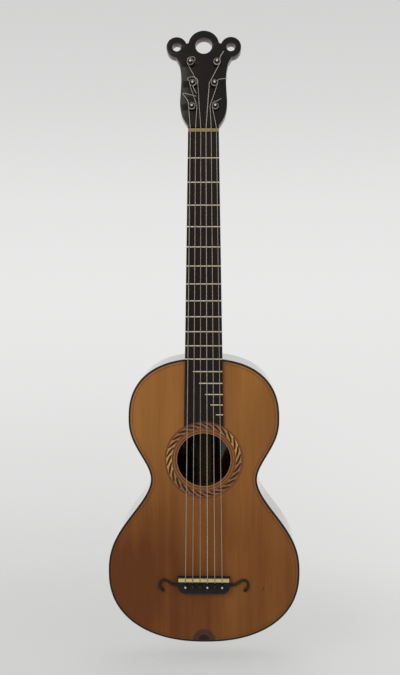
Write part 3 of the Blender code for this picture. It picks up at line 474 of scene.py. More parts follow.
def fingerboardMaterial():
    # dark open grain with drier, paler streaks
    material = newMaterial("fingerboardWood", 0.42)
    grain = noise(material, (800, 300, 14), 4)
    streak = noise(material, (140, 50, 4), 3, (1, 2, 3))
    share = weigh(material, streak, 0.6, weigh(material, grain, 0.7, -0.25))
    twoTones(material, share, fingerboardTones)
    drive(material, "Roughness", mapTo(material, streak, 0.3, 0.7, 0.34, 0.52))
    raiseBy(material, grain, 0.04 * mm, 0.5)
    return material


boneTones = {
    "nutBone": (rgb(0.14, 0.105, 0.04), rgb(0.3, 0.235, 0.1)),
    "saddleBone": (rgb(0.38, 0.3, 0.12), rgb(0.55, 0.46, 0.23)),
}


def boneMaterial(name):
    material = newMaterial(name, 0.4, Subsurface_Weight=0.05, Subsurface_Scale=2 * mm)
    cloud = noise(material, (60, 60, 60), 3)
    fine = noise(material, (500, 500, 900), 2)
    twoTones(material, weigh(material, fine, 0.3, calc(material, "MULTIPLY", cloud, 0.7)), boneTones[name])
    raiseBy(material, fine, 0.02 * mm, 0.3)
    return material


fretTones = (rgb(0.36, 0.31, 0.2), rgb(0.66, 0.6, 0.45))


def fretMaterial():
    # old brassy wire with file marks across it and dull spots
    material = newMaterial("fretWire", 0.3, Metallic=1.0)
    marks = noise(material, (60, 2500, 2500), 2)
    spots = noise(material, (400, 400, 400), 3)
    twoTones(material, spots, fretTones)
    drive(material, "Roughness", mapTo(material, spots, 0.3, 0.7, 0.24, 0.42))
    raiseBy(material, marks, 0.01 * mm, 0.3)
    return material


pearlTones = (rgb(0.34, 0.36, 0.36), rgb(0.6, 0.56, 0.52))


def pearlMaterial():
    material = newMaterial("pearlEye", 0.18, Coat_Weight=0.6, Coat_Roughness=0.05)
    twoTones(material, noise(material, (900, 900, 900), 2), pearlTones)
    return material


# pitch of the winding, height of its ridges, share of metal, tones
stringFinishes = {
    "woundString": (0.45 * mm, 0.05 * mm, 0.55, (rgb(0.12, 0.1, 0.075), rgb(0.4, 0.36, 0.29))),
    "gutString": (6 * mm, 0.01 * mm, 0.0, (rgb(0.2, 0.16, 0.12), rgb(0.44, 0.39, 0.32))),
}


def stringMaterial(name):
    # a fine helix: a sine of the distance along the string plus the turn around it
    pitch, ridge, metal, tones = stringFinishes[name]
    material = newMaterial(name, 0.36, Metallic=metal, Coat_Weight=0.2)
    uv = addNode(material, "UVMap", uv_map="wrap").outputs[0]
    along, turn, _ = addNode(material, "SeparateXYZ", {0: uv}).outputs
    phase = calc(material, "MULTIPLY", weigh(material, along, 1 / pitch, turn), 2 * math.pi)
    helix = wave(material, phase)
    dull = noise(material, (500, 500, 120), 3)
    twoTones(material, weigh(material, dull, 0.7, calc(material, "MULTIPLY", helix, 0.3)), tones)
    raiseBy(material, helix, ridge, 0.6)
    return material


# the inside wood's own tone, darkened further with painted shade so that the inside of the body reads dark
# through the sound hole
insideWoodAndShadeTones = (rgb(0.07, 0.04, 0.018), rgb(0.13, 0.085, 0.042))


def insideWoodAndShadeMaterial():
    material = newMaterial("insideSpruce", 0.75)
    grain = noise(material, (300, 300, 300), 3)
    twoTones(material, grain, insideWoodAndShadeTones)
    raiseBy(material, grain, 0.05 * mm, 0.4)
    return material


ropeFinish = {
    # 26 strands lie in a band between two radii, and slant by a strand and a quarter across it
    "strands": 26, "slant": 1.25, "inner": 46.2 * mm, "outer": 54.0 * mm, "lensWidth": 0.62, "edge": 0.06,
    # gold is a painted highlight between the lenses, centred on the two turns below and narrowed by the focus
    "dark": rgb(0.032, 0.0105, 0.0085), "mid": rgb(0.2, 0.085, 0.03), "gold": rgb(0.46, 0.25, 0.06),
    "glintTurns": (math.radians(-88), math.radians(62)), "glintFocus": 7.0,
    # rings from the hole's rim to the rosette's outer edge
    "rings": (
        (0.0, (0.3, 0.14, 0.05)), (0.045, (0.26, 0.11, 0.035)), (0.075, (0.1, 0.035, 0.012)),
        (0.2, (0.14, 0.05, 0.016)), (0.235, (0.23, 0.09, 0.03)), (0.28, (0.22, 0.085, 0.028)),
        (0.31, (0.095, 0.033, 0.012)), (0.4, (0.11, 0.038, 0.014)), (0.425, (0.2, 0.08, 0.028)),
        (0.87, (0.16, 0.06, 0.02)), (0.9, (0.06, 0.022, 0.011)), (0.94, (0.17, 0.066, 0.022)),
        (1.0, (0.1, 0.036, 0.014)),
    ),
}


def ropeMaterial():
    # a rope of slanted lens shapes between thin rings: the lens narrows towards the band's two edges,
    # and its middle slides round by the slant as it goes outwards
    f = ropeFinish
    material = newMaterial("rosetteRope", 0.4, **satin)
    x, _, z = objectXYZ(material)
    up = calc(material, "ADD", z, bodyShape["holeAt"] - nutEdge)
    radius = reachOf(material, x, up)
    turn = calc(material, "ARCTAN2", x, up)  # clockwise from the top
    across = mapTo(material, radius, f["inner"], f["outer"], -1.0, 1.0)
    slide = calc(material, "MULTIPLY", across, f["slant"] / 2)
    phase = weigh(material, turn, f["strands"] / (2 * math.pi), slide)
    place = calc(material, "FRACT", calc(material, "ADD", phase, 100.0))
    fromMiddle = calc(material, "MULTIPLY", offBy(material, place, 0.5), 2.0)
    rounded = calc(material, "SUBTRACT", 1.0, calc(material, "MULTIPLY", across, across))
    fullness = calc(material, "SQRT", calc(material, "MAXIMUM", rounded, 0.0))
    width = calc(material, "MULTIPLY", fullness, f["lensWidth"])
    inside = calc(material, "SUBTRACT", width, fromMiddle)
    lens = mapTo(material, inside, -f["edge"], f["edge"], 0.0, 1.0, True)
    # between the lenses the wood is brown, with a painted gold highlight round two clock places where light
    # catches its fibres
    glints = []
    for middle in f["glintTurns"]:
        facing = calc(material, "COSINE", calc(material, "SUBTRACT", turn, middle))
        glints.append(calc(material, "POWER", calc(material, "MAXIMUM", facing, 0.0), f["glintFocus"]))
    fibre = noise(material, (500, 100, 500), 3)
    glint = calc(material, "ADD", *glints)
    glint = calc(material, "MULTIPLY", glint, mapTo(material, fibre, 0.3, 0.6, 0.5, 1.0))
    between = mixColour(material, calc(material, "MINIMUM", glint, 1.0), f["mid"], f["gold"])
    rope = mixColour(material, lens, between, f["dark"])
    spread = mapTo(material, radius, rosetteShape["inner"], rosetteShape["outer"])
    rings = toneRamp(material, spread, f["rings"])
    soft = 0.1 * mm
    pastInner = mapTo(material, radius, f["inner"] - soft, f["inner"] + soft)
    beforeOuter = mapTo(material, radius, f["outer"] - soft, f["outer"] + soft, 1.0, 0.0)
    inBand = calc(material, "MULTIPLY", pastInner, beforeOuter)
    colour = mixColour(material, inBand, rings, rope)
    drive(material, "Base Color", shaded(material, colour, mapTo(material, fibre, 0.2, 0.8, 0.8, 1.2)))
    raiseBy(material, fibre, 0.03 * mm, 0.4)
    return material


inlayFinish = {
    "heart": rgb(0.012, 0.006, 0.005), "rim": rgb(0.062, 0.025, 0.013), "ring": rgb(0.075, 0.036, 0.022),
    "heartRadius": 3 * mm, "ringRadius": 9.5 * mm, "ringHalf": 0.3 * mm,
}


def inlayMaterial():
    # a dark half disc with a darker heart and a faint ring
    f = inlayFinish
    material = newMaterial("tailInlayWood", 0.38, **satin)
    x, _, z = objectXYZ(material)
    radius = reachOf(material, x, calc(material, "ADD", z, tailEnd - tailInlay["fromEdge"] - nutEdge))
    share = mapTo(material, radius, f["heartRadius"], tailInlay["radius"], smooth=True)
    grain = noise(material, (400, 100, 60), 3)
    colour = mixColour(material, share, f["heart"], f["rim"])
    fromRing = offBy(material, radius, f["ringRadius"])
    clear = mapTo(material, fromRing, f["ringHalf"], f["ringHalf"] + 0.5 * mm)
    colour = mixColour(material, clear, f["ring"], colour)
    drive(material, "Base Color", shaded(material, colour, mapTo(material, grain, 0.2, 0.8, 0.8, 1.2)))
    return material


def dressFrame():
    # frame parts whose shape is already right get their finish only
    finishes = {
        "soundboard": spruceMaterial(), "fingerboard": fingerboardMaterial(),
        "nut": boneMaterial("nutBone"), "saddle": boneMaterial("saddleBone"),
    }
    inside = ("lining_front", "lining_back", "neck_block", "tail_block", "top_bar_upper", "top_bar_lower",
              "back_bars")
    # the inside parts take their wood tone darkened with painted shade
    finishes.update(dict.fromkeys(inside, insideWoodAndShadeMaterial()))
    for name, material in finishes.items():
        dress(frame["nodes"][name].data, material)
    print("frame dressed")


# body

bodyShape = {
    "top": 319.7 * mm, "upperAlong": 87.3 * mm, "upperHalf": 108.4 * mm,
    "waistAlong": 175.3 * mm, "waistHalf": 76.6 * mm,
    "lowerAlong": 313.3 * mm, "lowerHalf": 138.8 * mm, "length": 416.6 * mm,
    "shoulderFullness": 2.4, "tailFullness": 2.25, "upperSkew": 1.25, "lowerSkew": 1.3,
    "depthAtNeck": 86 * mm, "depthAtTail": 98 * mm, "backThickness": 2.6 * mm, "wall": 2.2 * mm,
    "bindingWidth": 2.0 * mm, "bindingDepth": 3.2 * mm, "bindingRound": 0.7 * mm, "holeAt": 466.6 * mm,
}
tailEnd = bodyShape["top"] + bodyShape["length"]
backSlope = (bodyShape["depthAtTail"] - bodyShape["depthAtNeck"]) / bodyShape["length"]
edgeSteps = 360


def roundedQuarter(half, length, fullness, t):
    # a full-cheeked quarter ellipse, t from its middle (0) to its side (1)
    angle = t * np.pi / 2
    return half * np.sin(angle) ** (2 / fullness), length * (1 - np.cos(angle) ** (2 / fullness))


def bodyEdge():
    # the outline, clockwise from the middle of its top edge, as equal steps: across and down
    s = bodyShape
    t = np.linspace(0, 1, 80)
    shoulder = roundedQuarter(s["upperHalf"], s["upperAlong"], s["shoulderFullness"], t)
    drawnIn = (s["upperHalf"] - s["waistHalf"]) * blend(t ** s["upperSkew"])
    swell = (s["lowerHalf"] - s["waistHalf"]) * blend(1 - (1 - t) ** s["lowerSkew"])
    tail = roundedQuarter(s["lowerHalf"], s["length"] - s["lowerAlong"], s["tailFullness"], 1 - t)
    across = (shoulder[0], s["upperHalf"] - drawnIn, s["waistHalf"] + swell, tail[0])
    down = (
        shoulder[1], s["upperAlong"] + t * (s["waistAlong"] - s["upperAlong"]),
        s["waistAlong"] + t * (s["lowerAlong"] - s["waistAlong"]), s["length"] - tail[1],
    )
    # each stretch starts where the one before it ends
    places = [np.concatenate([parts[0]] + [part[1:] for part in parts[1:]]) for parts in (across, down)]
    run = runLength(np.stack(places, -1))
    even = np.linspace(0, run[-1], edgeSteps // 2 + 1)
    across, down = (np.interp(even, run, values) for values in places)
    down += s["top"]
    across[[0, -1]] = 0
    return stacked(np.concatenate([across, -across[-2:0:-1]]), np.concatenate([down, down[-2:0:-1]]))


def inward(edge):
    # unit directions that point into the body, square to its outline
    along = np.roll(edge, -1, 0) - np.roll(edge, 1, 0)
    along /= np.linalg.norm(along, axis=1, keepdims=True)
    return np.stack([-along[:, 1], along[:, 0]], -1)


def edgeRing(name, section, material, stands=()):
    # section points (inset, out) carried round the body's outline; out may be a function of down
    edge = bodyEdge()
    columns = []
    for inset, out in section:
        across, down = (edge + inward(edge) * inset).T
        columns.append(onBench(across, down, out(down) if callable(out) else out))
    return surface(name, np.stack(columns, 1), material, stands=stands, closedRows=True)


def backFace(down):
    # the back's outer face: the depth at the neck, and an even slope from there
    return -bodyShape["depthAtNeck"] - (down - bodyShape["top"]) * backSlope


def quarterRound(radius, degrees):
    # inset and drop of points round an edge, by their angle from the side
    angles = np.radians(degrees)
    return [(radius * (1 - math.cos(a)), radius * (1 - math.sin(a))) for a in angles]


def makeSideWalls():
    # a thin wall carried round the outline, from under the binding to the sloping back
    front = -bodyShape["bindingDepth"] - gap
    rear = bodyShape["backThickness"] + gap

    def level(share):
        return lambda down: front + share * (backFace(down) + rear - front)

    section = [(0, level(share)) for share in np.linspace(0, 1, 9)]
    section += [(bodyShape["wall"], level(share)) for share in (1, 0.5, 0)]
    edgeRing("sideWalls", section, rosewoodMaterial("rosewoodSides"), ("rib_bass", "rib_treble"))
    print("side walls bent")


# start, end, darkest and palest tone
edgeLines = {
    "edgeLine": (1.9 * mm, 2.8 * mm, rgb(0.012, 0.007, 0.005), rgb(0.03, 0.014, 0.008)),
    "innerLine": (5.6 * mm, 6.2 * mm, rgb(0.05, 0.018, 0.008), rgb(0.09, 0.034, 0.014)),
}


def makeBinding():
    # a square strip with its outer corner a quarter round, carried round the outline
    width, depth = bodyShape["bindingWidth"], bodyShape["bindingDepth"]
    corner = [(inset, -drop) for inset, drop in quarterRound(bodyShape["bindingRound"], (0, 22, 45, 68, 90))]
    section = [(0, -depth)] + corner + [(width, 0), (width, -depth)]
    edgeRing("binding", section, ebonyMaterial("bindingBlack", 0.3), ("binding",))
    # two thin lines let into the soundboard inside the binding, a hair proud of it
    lift, sunk = 0.06 * mm, -0.5 * mm
    for name, (start, end, *tones) in edgeLines.items():
        material = newMaterial(name + "Wood", 0.4, **satin)
        twoTones(material, noise(material, (300, 300, 300), 2), tones)
        edgeRing(name, [(start, sunk), (start, lift), (end, lift), (end, sunk)], material)
    print("binding and lines glued")


backShape = {
    "spineFrom": 400 * mm, "spineTo": 640 * mm, "round": 1.0 * mm,
    "outerShares": (0, 0.2, 0.45, 0.7, 0.9), "innerShares": (1, 0.7, 0.35, 0),
}


def makeBack():
    # rings of the outline drawn in to a spine on the centre line: the outer face, the rounded edge
    # and the inner face
    s = backShape
    edge = bodyEdge()
    spine = stacked(0.0, np.clip(edge[:, 1], s["spineFrom"], s["spineTo"]))
    rings = [(share, 0, 0) for share in s["outerShares"]]
    rings += [(1, inset, rise) for inset, rise in quarterRound(s["round"], (90, 60, 30, 0))]
    rings += [(share, 0, bodyShape["backThickness"]) for share in s["innerShares"]]
    columns = []
    for share, inset, rise in rings:
        across, down = (spine + (edge - spine) * share + inward(edge) * inset).T
        columns.append(onBench(across, down, backFace(down) + rise))
    surface("backPlate", np.stack(columns, 1), rosewoodMaterial("rosewoodBack", seam=True),
            stands=("back",), closedRows=True)
    print("back laid")


rosetteShape = {"inner": 38.8 * mm, "outer": 56.4 * mm, "thickness": 1.0 * mm, "round": 0.12 * mm,
                "flatFrom": 2 * mm}


def makeRosette():
    # a flat ring with its two edges taken off, turned about the sound hole's middle
    s = rosetteShape
    inner, outer = s["inner"], s["outer"]
    section = [(inner, -s["thickness"]), (inner, -s["round"]), (inner + s["round"], 0)]
    section += [(radius, 0) for radius in np.linspace(inner + s["flatFrom"], outer - s["flatFrom"], 6)]
    section += [(outer - s["round"], 0), (outer, -s["round"]), (outer, -s["thickness"])]
    radius, out = np.array(section).T
    turn = around(240)[:, None]
    grid = onBench(radius * np.sin(turn), bodyShape["holeAt"] - radius * np.cos(turn), out)
    surface("rosette", grid, ropeMaterial(), stands=("rosette",), closedRows=True)
    print("rosette let in")


tailInlay = {"radius": 16.5 * mm, "fromEdge": 3.1 * mm, "sunk": -0.4 * mm, "lift": 0.1 * mm,
             "round": 0.03 * mm}


def makeTailInlay():
    # a half disc whose straight side lies along the binding at the tail
    s = tailInlay
    loop = circle((0, 0), s["radius"], np.linspace(0, np.pi, 40))
    place = boardMatrix(0, tailEnd - s["fromEdge"])
    cutPlate("tailInlay", [loop], s["sunk"], s["lift"], s["round"], place, inlayMaterial())
    print("tail inlay let in")


# neck and frets

neckShape = {
    "nutWidth": 43.2 * mm, "jointWidth": 53.6 * mm, "nutLength": 5.0 * mm,
    "thicknessAtNut": 18 * mm, "thicknessAtHeel": 21 * mm, "heelLength": 42 * mm,
    "roundness": 2.3, "heelRoundness": 1.5, "heelPower": 2.2,
    "boardThickness": 3.7 * mm, "scale": 640 * mm,
}


def neckHalf(down):
    # half the width, which grows evenly from the nut to the body
    widening = (neckShape["jointWidth"] - neckShape["nutWidth"]) / bodyShape["top"]
    return (neckShape["nutWidth"] + widening * down) / 2


def makeNeck():
    # half-round sections, full-cheeked along the neck and fuller and deeper down the heel
    s = neckShape
    heelStart = bodyShape["top"] - s["heelLength"]
    joint = bodyShape["top"] - gap
    straight = np.linspace(-s["nutLength"], heelStart, 12)[:-1]
    down = np.concatenate([straight, np.linspace(heelStart, joint, 28)])[:, None]
    share = np.clip((down - heelStart) / (joint - heelStart), 0, 1)
    growth = (s["thicknessAtHeel"] - s["thicknessAtNut"]) / heelStart
    depth = s["thicknessAtNut"] + growth * np.clip(down, 0, heelStart)
    depth = depth + (bodyShape["depthAtNeck"] - s["thicknessAtHeel"]) * share ** s["heelPower"]
    power = 2 / (s["roundness"] - (s["roundness"] - s["heelRoundness"]) * blend(share))
    turn = np.linspace(0, np.pi, 41)
    across = neckHalf(down) * np.sign(np.cos(turn)) * np.abs(np.cos(turn)) ** power
    grid = onBench(across, down, -depth * np.abs(np.sin(turn)) ** power)
    surface("neckShaft", grid, blackWoodMaterial("neckBlack"), stands=("neck",), caps=True, sharp=50)
    print("neck shaped")


fretWire = {
    "full": 12, "width": 1.9 * mm, "height": 1.0 * mm, "inset": 0.3 * mm, "sunk": -0.2 * mm,
    "endRound": 0.7 * mm, "endHeight": 0.4, "fullness": 0.8,
    # where the short frets start, across from the board's middle
    "shortStarts": (-15.5 * mm, -6.6 * mm, 2.1 * mm, 9.5 * mm, 17.4 * mm),
}


def makeFrets():
    # a crown of half-oval section carried across the board, drawn in and down at its two ends
    f = fretWire
    seat = gap + neckShape["boardThickness"]
    metal = fretMaterial()
    angle = np.linspace(0, np.pi, 15)
    ease = np.array([0, 0.15, 0.4, 0.7, 1])
    rise = np.sqrt(1 - (1 - np.concatenate([ease, ease[::-1]])) ** 2)
    size = (f["endHeight"] + (1 - f["endHeight"]) * rise)[:, None]
    crown = f["height"] * np.sin(angle) ** f["fullness"] * size
    half = f["width"] / 2 * np.cos(angle) * (0.5 + 0.5 * size)
    base = half[:, [-1, 0]]
    half = np.concatenate([half, base], 1)
    crown = np.concatenate([crown, np.full_like(base, f["sunk"])], 1)
    for number in range(1, f["full"] + len(f["shortStarts"]) + 1):
        down = neckShape["scale"] * (1 - 2 ** (-number / 12))
        right = neckHalf(down) - f["inset"]
        left = -right if number <= f["full"] else f["shortStarts"][number - f["full"] - 1]
        across = np.concatenate([left + f["endRound"] * ease, right - f["endRound"] * ease[::-1]])
        grid = onBench(across[:, None], down + half, seat + crown)
        surface("fret%02d" % number, grid, metal, stands=("fret_%02d" % number,), caps=True)
    print("frets set")


# head and pegs

headShape = {
    "tilt": math.radians(12), "thickness": 18 * mm, "edge": 0.6 * mm, "pegHole": 4.35 * mm,
    "crownAt": 121.3 * mm, "crownRadius": 22 * mm, "crownHole": 12 * mm,
    "earAcross": 38.4 * mm, "earAt": 119.4 * mm, "earRadius": 14.5 * mm, "earHole": 6.4 * mm,
    "earStart": math.radians(-84), "earEnd": math.radians(160), "crownStart": math.radians(10),
    # the treble side from the foot to the ear: across and up the face, in millimetres
    "side": ((21.6, -4.5), (21.6, 4.5), (24.3, 8.2), (29.6, 17.5), (32.4, 28), (33.2, 39), (32.4, 53),
             (31.7, 69), (32.4, 84), (34.8, 96)),
}
headOrigin = onBench(0, -neckShape["nutLength"] - gap, 0)
headOut = np.array([0, -math.cos(headShape["tilt"]), math.sin(headShape["tilt"])])
headUp = np.array([0, math.sin(headShape["tilt"]), math.cos(headShape["tilt"])])
sideways = np.array([1.0, 0.0, 0.0])
headAxes = np.stack([sideways, headUp, headOut])


def onHead(across, up, out):
    # a place across the head's face, up it and out of it, to world
    return headOrigin + stacked(across, up, out) @ headAxes


def toHead(point):
    # the same the other way
    return headAxes @ (point - headOrigin)


pegPlaces = [toHead(np.array(joints["turn_peg_" + name]["pos_m"])) for name in stringNames]


def makeHead():
    # the treble side's curve, the ear's arc and the crown's arc, mirrored and given their thickness
    h = headShape
    side = np.array(h["side"]) * mm
    ear = circle((h["earAcross"], h["earAt"]), h["earRadius"], np.linspace(h["earStart"], h["earEnd"], 36))
    crown = circle((0, h["crownAt"]), h["crownRadius"], np.linspace(h["crownStart"], np.pi / 2, 20))
    right = np.concatenate([side[:1], throughPoints(side[1:], 5), ear, crown])
    outline = np.concatenate([right, right[-2::-1] * (-1, 1)])
    holes = [circle((0, h["crownAt"]), h["crownHole"], around(64))]
    ears = (-h["earAcross"], h["earAcross"])
    holes += [circle((across, h["earAt"]), h["earHole"], around(40)) for across in ears]
    holes += [circle(place, h["pegHole"], around(32)) for place in pegPlaces]
    stand = Matrix(headAxes.T.tolist()).to_4x4()
    stand.translation = headOrigin
    head = cutPlate("headPlate", [outline] + holes, -h["thickness"], 0, h["edge"], stand,
                    headMaterial(), ("head",))
    # the foot is sawn square to the strings, just clear of the nut
    bm = bmesh.new()
    bm.from_mesh(head.data)
    everything = bm.verts[:] + bm.edges[:] + bm.faces[:]
    sawn = bmesh.ops.bisect_plane(bm, geom=everything, plane_co=tuple(headOrigin), plane_no=(0, 0, -1),
                                  clear_outer=True)
    cutEdges = [part for part in sawn["geom_cut"] if isinstance(part, bmesh.types.BMEdge)]
    bmesh.ops.contextual_create(bm, geom=cutEdges)
    bmesh.ops.recalc_face_normals(bm, faces=bm.faces)
    bm.to_mesh(head.data)
    bm.free()
    print("head sawn")


pegShape = {
    "protrusion": 9.8 * mm, "tip": 3.3 * mm, "tipRound": 1.6 * mm, "face": 3.6 * mm, "rear": 4.0 * mm,
    "coilSeat": (4 * mm, 3.45 * mm),  # height and half width where the string winds
    "collar": 5.3 * mm, "collarLength": 3.2 * mm, "lip": 0.5 * mm, "neckLength": 2 * mm,
    "underCollar": (0.8 * mm, 4.1 * mm),  # depth and half width of the taper into the knob
    "knobHalf": 11.5 * mm, "knobLength": 26 * mm, "knobThickness": 7 * mm, "thinning": 0.35,
    "rootWidening": 1.15, "knobTip": (0.8 * mm, 1.5 * mm), "step": 0.1 * mm,
    # share of the knob's length, share of its half width
    "knobSections": ((0.2, 0.62), (0.4, 0.92), (0.62, 1.0), (0.85, 0.78), (0.96, 0.45)),
    "eye": 1.5 * mm, "eyeDome": (-0.6, 0.0, 0.25, 0.4, 0.48, 0.5),
}
point = 0.02 * mm  # half width of a turned piece where it closes


def pegSections():
    # height over the head's face, half width across and half width along, from the tip to the knob's end
    p = pegShape
    rear = -headShape["thickness"] - gap
    collar = rear - p["collarLength"]
    lip, step = p["lip"], p["step"]
    taper, taperHalf = p["underCollar"]
    shank = [(p["protrusion"], point)]
    shank += [(p["protrusion"] - inset, p["tip"] - drop)
              for inset, drop in quarterRound(p["tipRound"], (0, 20, 40, 60, 75, 90))]
    shank += [p["coilSeat"], (0, p["face"]), (rear, p["rear"])]
    shank += [(rear - step, p["collar"] - lip), (rear - lip, p["collar"]), (collar + lip, p["collar"]),
              (collar, p["collar"] - lip), (collar - taper, taperHalf)]
    slim = p["knobThickness"] / 2
    root = collar - p["neckLength"]
    end = root - p["knobLength"]
    knob = [(root, slim, slim * p["rootWidening"])]
    knob += [(root - p["knobLength"] * share, slim * (1 - p["thinning"] * share), p["knobHalf"] * width)
             for share, width in p["knobSections"]]
    knobEnd = [(end, *p["knobTip"]), (end - step, point, point)]
    return np.concatenate([[(height, half, half) for height, half in shank], throughPoints(knob, 5), knobEnd])


def makePegs():
    # an oval at each height: round down the shank, wide and flat in the knob
    ebony = ebonyMaterial("pegEbony", 0.32)
    pearl = pearlMaterial()
    height, half, wide = (column[:, None] for column in pegSections().T)
    turn = around(32)
    for name, place in zip(stringNames, pegPlaces):
        body = "tuning_peg_" + name
        grid = onHead(place[0] + half * np.cos(turn), place[1] + wide * np.sin(turn), height)
        surface("peg_%s_turned" % name, grid, ebony, body, ("peg_" + name,), sharp=40)
        tip = (place[0], place[1], pegShape["protrusion"])
        addEye("peg_%s_eye" % name, tip, pegShape["eye"], pegShape["eyeDome"], onHead, pearl, body)
    print("pegs turned")


# bridge and pins

bridgeShape = {
    "front": 637.6 * mm, "side": 649 * mm, "back": 662 * mm, "topHalf": 38.05 * mm, "baseHalf": 28 * mm,
    "height": 8.5 * mm, "edge": 0.9 * mm, "arm": 1.9 * mm,
    "pinsAt": 650.1 * mm, "pinSpread": 53 * mm, "saddleRear": 643.8 * mm,
    # millimetres out from the block's side and back from its front edge, share of the arm's thickness
    "armPoints": ((-3.6, 12.7, 1.0), (5.2, 12.7, 1.0), (10.8, 10.0, 0.95), (16.6, 6.4, 0.9),
                  (22.0, 5.7, 0.85), (25.5, 9.0, 0.8), (26.4, 14.2, 0.8), (24.4, 18.4, 1.1),
                  (21.6, 20.3, 1.35), (20.0, 19.8, 0.9)),
    "armTip": (0.95, 0.85, 0.65, 0.3),  # how the last rings of an arm draw in
}


def makeBridge():
    # a block with a curved rear side, and two arms as round wires that thicken into their scrolls
    b = bridgeShape
    ebony = ebonyMaterial("bridgeEbony", 0.35)
    sweep = np.linspace(0, np.pi / 2, 16)
    across = b["baseHalf"] + (b["topHalf"] - b["baseHalf"]) * np.cos(sweep)
    along = b["side"] + (b["back"] - b["side"]) * np.sin(sweep)
    right = np.concatenate([[(b["topHalf"], -b["front"])], stacked(across, -along)])
    outline = np.concatenate([right, right[::-1] * (-1, 1)])
    cutPlate("bridgeBlock", [outline], gap, b["height"], b["edge"], boardMatrix(0, 0), ebony, ("bridge",))
    outward, backward, thickness = throughPoints(np.array(b["armPoints"]) * (mm, mm, 1), 8).T
    size = b["arm"] * thickness
    size[-len(b["armTip"]):] *= b["armTip"]
    for name, side in (("scrollTreble", 1), ("scrollBass", -1)):
        path = onBench(side * (b["topHalf"] + outward), b["front"] + backward, gap + b["arm"])
        wire(name, path, size, ebony, (0, 1, 0), sides=20)
    print("bridge carved")


pinShape = {
    "ball": 3.5 * mm, "lift": 2.0 * mm, "top": 2.4 * mm, "tip": 2.0 * mm, "shank": 24 * mm,
    "tipRound": 0.2 * mm, "eye": 1.35 * mm, "eyeSunk": 0.22 * mm,
    "eyeDome": (-0.5, 0.0, 0.2, 0.33, 0.38, 0.4), "withEyes": ("e6", "g3", "e1"),
}


def stringAcross(number, spread):
    # the strings stand evenly about the middle
    return spread * (number / (len(stringNames) - 1) - 0.5)


def onBridge(across, down, out):
    # a bench place counted out from the bridge's top
    return onBench(across, down, bridgeShape["height"] + out)


def makePins():
    # a ball on a tapered shank, turned about its own axis
    p = pinShape
    ebony = ebonyMaterial("pinEbony", 0.28)
    pearl = pearlMaterial()
    ballMiddle = p["lift"] + p["ball"]
    polar = np.radians([0.5, 12, 25, 40, 55, 70, 85, 100, 115, 128, 140])
    profile = [(ballMiddle + p["ball"] * math.cos(a), p["ball"] * math.sin(a)) for a in polar]
    profile += [(p["lift"], p["top"]), (0, p["top"]), (-p["shank"], p["tip"])]
    profile += [(-p["shank"] - p["tipRound"], point)]
    height, half = (column[:, None] for column in np.array(profile).T)
    for i, name in enumerate(stringNames):
        body = "pin_" + name
        middle = (stringAcross(i, bridgeShape["pinSpread"]), bridgeShape["pinsAt"])
        rings = circle(middle, half, around(32))
        grid = onBridge(rings[..., 0], rings[..., 1], height)
        surface("pin_%s_turned" % name, grid, ebony, body, ("bridge_pin_" + name,))
        if name in p["withEyes"]:
            top = (*middle, ballMiddle + p["ball"] - p["eyeSunk"])
            addEye("pin_%s_eye" % name, top, p["eye"], p["eyeDome"], onBridge, pearl, body)
    print("pins turned")


# strings

stringShape = {
    "diameters": (1.10 * mm, 0.95 * mm, 0.85 * mm, 1.00 * mm, 0.82 * mm, 0.72 * mm), "wound": 3,
    "spreadAtNut": 36.6 * mm, "overNut": 5.7 * mm, "overSaddle": 11.4 * mm, "endBelow": 8.3 * mm,
    "slotAhead": 3.25 * mm, "slotBend": 0.6 * mm,
    "slotEdge": (0.15 * mm, 0.35 * mm),  # towards the saddle, out of the bridge's top
    "saddleEdge": (0.6 * mm, 0.1 * mm, 0.8 * mm),  # behind the saddle, lower there, ahead on its top
    "pastNut": 0.5 * mm, "sides": (-1, -1, -1, 1, 1, -1), "turns": 2, "start": 3.2 * mm,
    "pitch": 1.7 * mm, "turnSteps": 40, "lead": 3.6 * mm, "leadShares": (1, 0.66, 0.33),
    "passingRoom": 7.361 * mm,
    "leaves": math.radians(25),  # the coil ends this far before the loose end's first point
    # where a string bends past a lower peg: the peg's number and the side that it passes on
    "passes": (None, (0, 1), (1, 1), (4, -1), (5, -1), None),
    # loose ends past the last turn, from the peg's middle: across, up the head, out of it, in millimetres
    "looseEnds": (
        ((-4.4, 2.4, 7.3), (-5.6, 6.6, 8.3), (-9.0, 11.8, 8.6), (-12.0, 15.9, 8.7), (-11.2, 17.4, 8.7),
         (-8.6, 17.0, 8.7), (-4.2, 15.6, 8.7), (1.0, 14.2, 8.7), (6.2, 12.8, 8.7)),
        ((-4.8, 2.4, 7.2), (-7.0, 3.4, 8.2), (-5.6, 6.2, 8.8), (-1.4, 7.2, 9.2), (3.4, 6.2, 9.6),
         (7.6, 1.6, 10.0), (5.2, -3.2, 10.4), (0.8, -6.4, 10.7), (1.6, -9.4, 10.9), (4.2, -14.6, 11.0),
         (5.4, -17.6, 11.0)),
        ((-3.2, 4.2, 7.0), (0.4, 5.6, 7.8), (4.4, 5.8, 8.4), (6.6, 3.6, 9.0), (6.6, 0.4, 9.8),
         (4.0, -1.4, 10.8), (1.4, 0.2, 11.2), (0.2, 2.6, 11.2)),
        ((4.0, 3.2, 7.1), (4.6, 5.8, 7.9), (6.4, 9.0, 8.5), (8.0, 11.6, 8.8), (9.5, 13.9, 9.0)),
        ((4.6, 2.8, 7.2), (7.0, 4.0, 8.0), (10.8, 4.4, 8.5), (14.4, 4.6, 8.8), (18.0, 4.9, 9.0)),
        ((-2.6, 4.4, 7.1), (0.6, 5.8, 7.9), (4.4, 7.2, 8.4), (8.2, 9.4, 8.8)),
    ),
}


def stringReach(number):
    # how far a coiled string's middle lies from its peg's axis
    return pegShape["face"] + gap + stringShape["diameters"][number] / 2


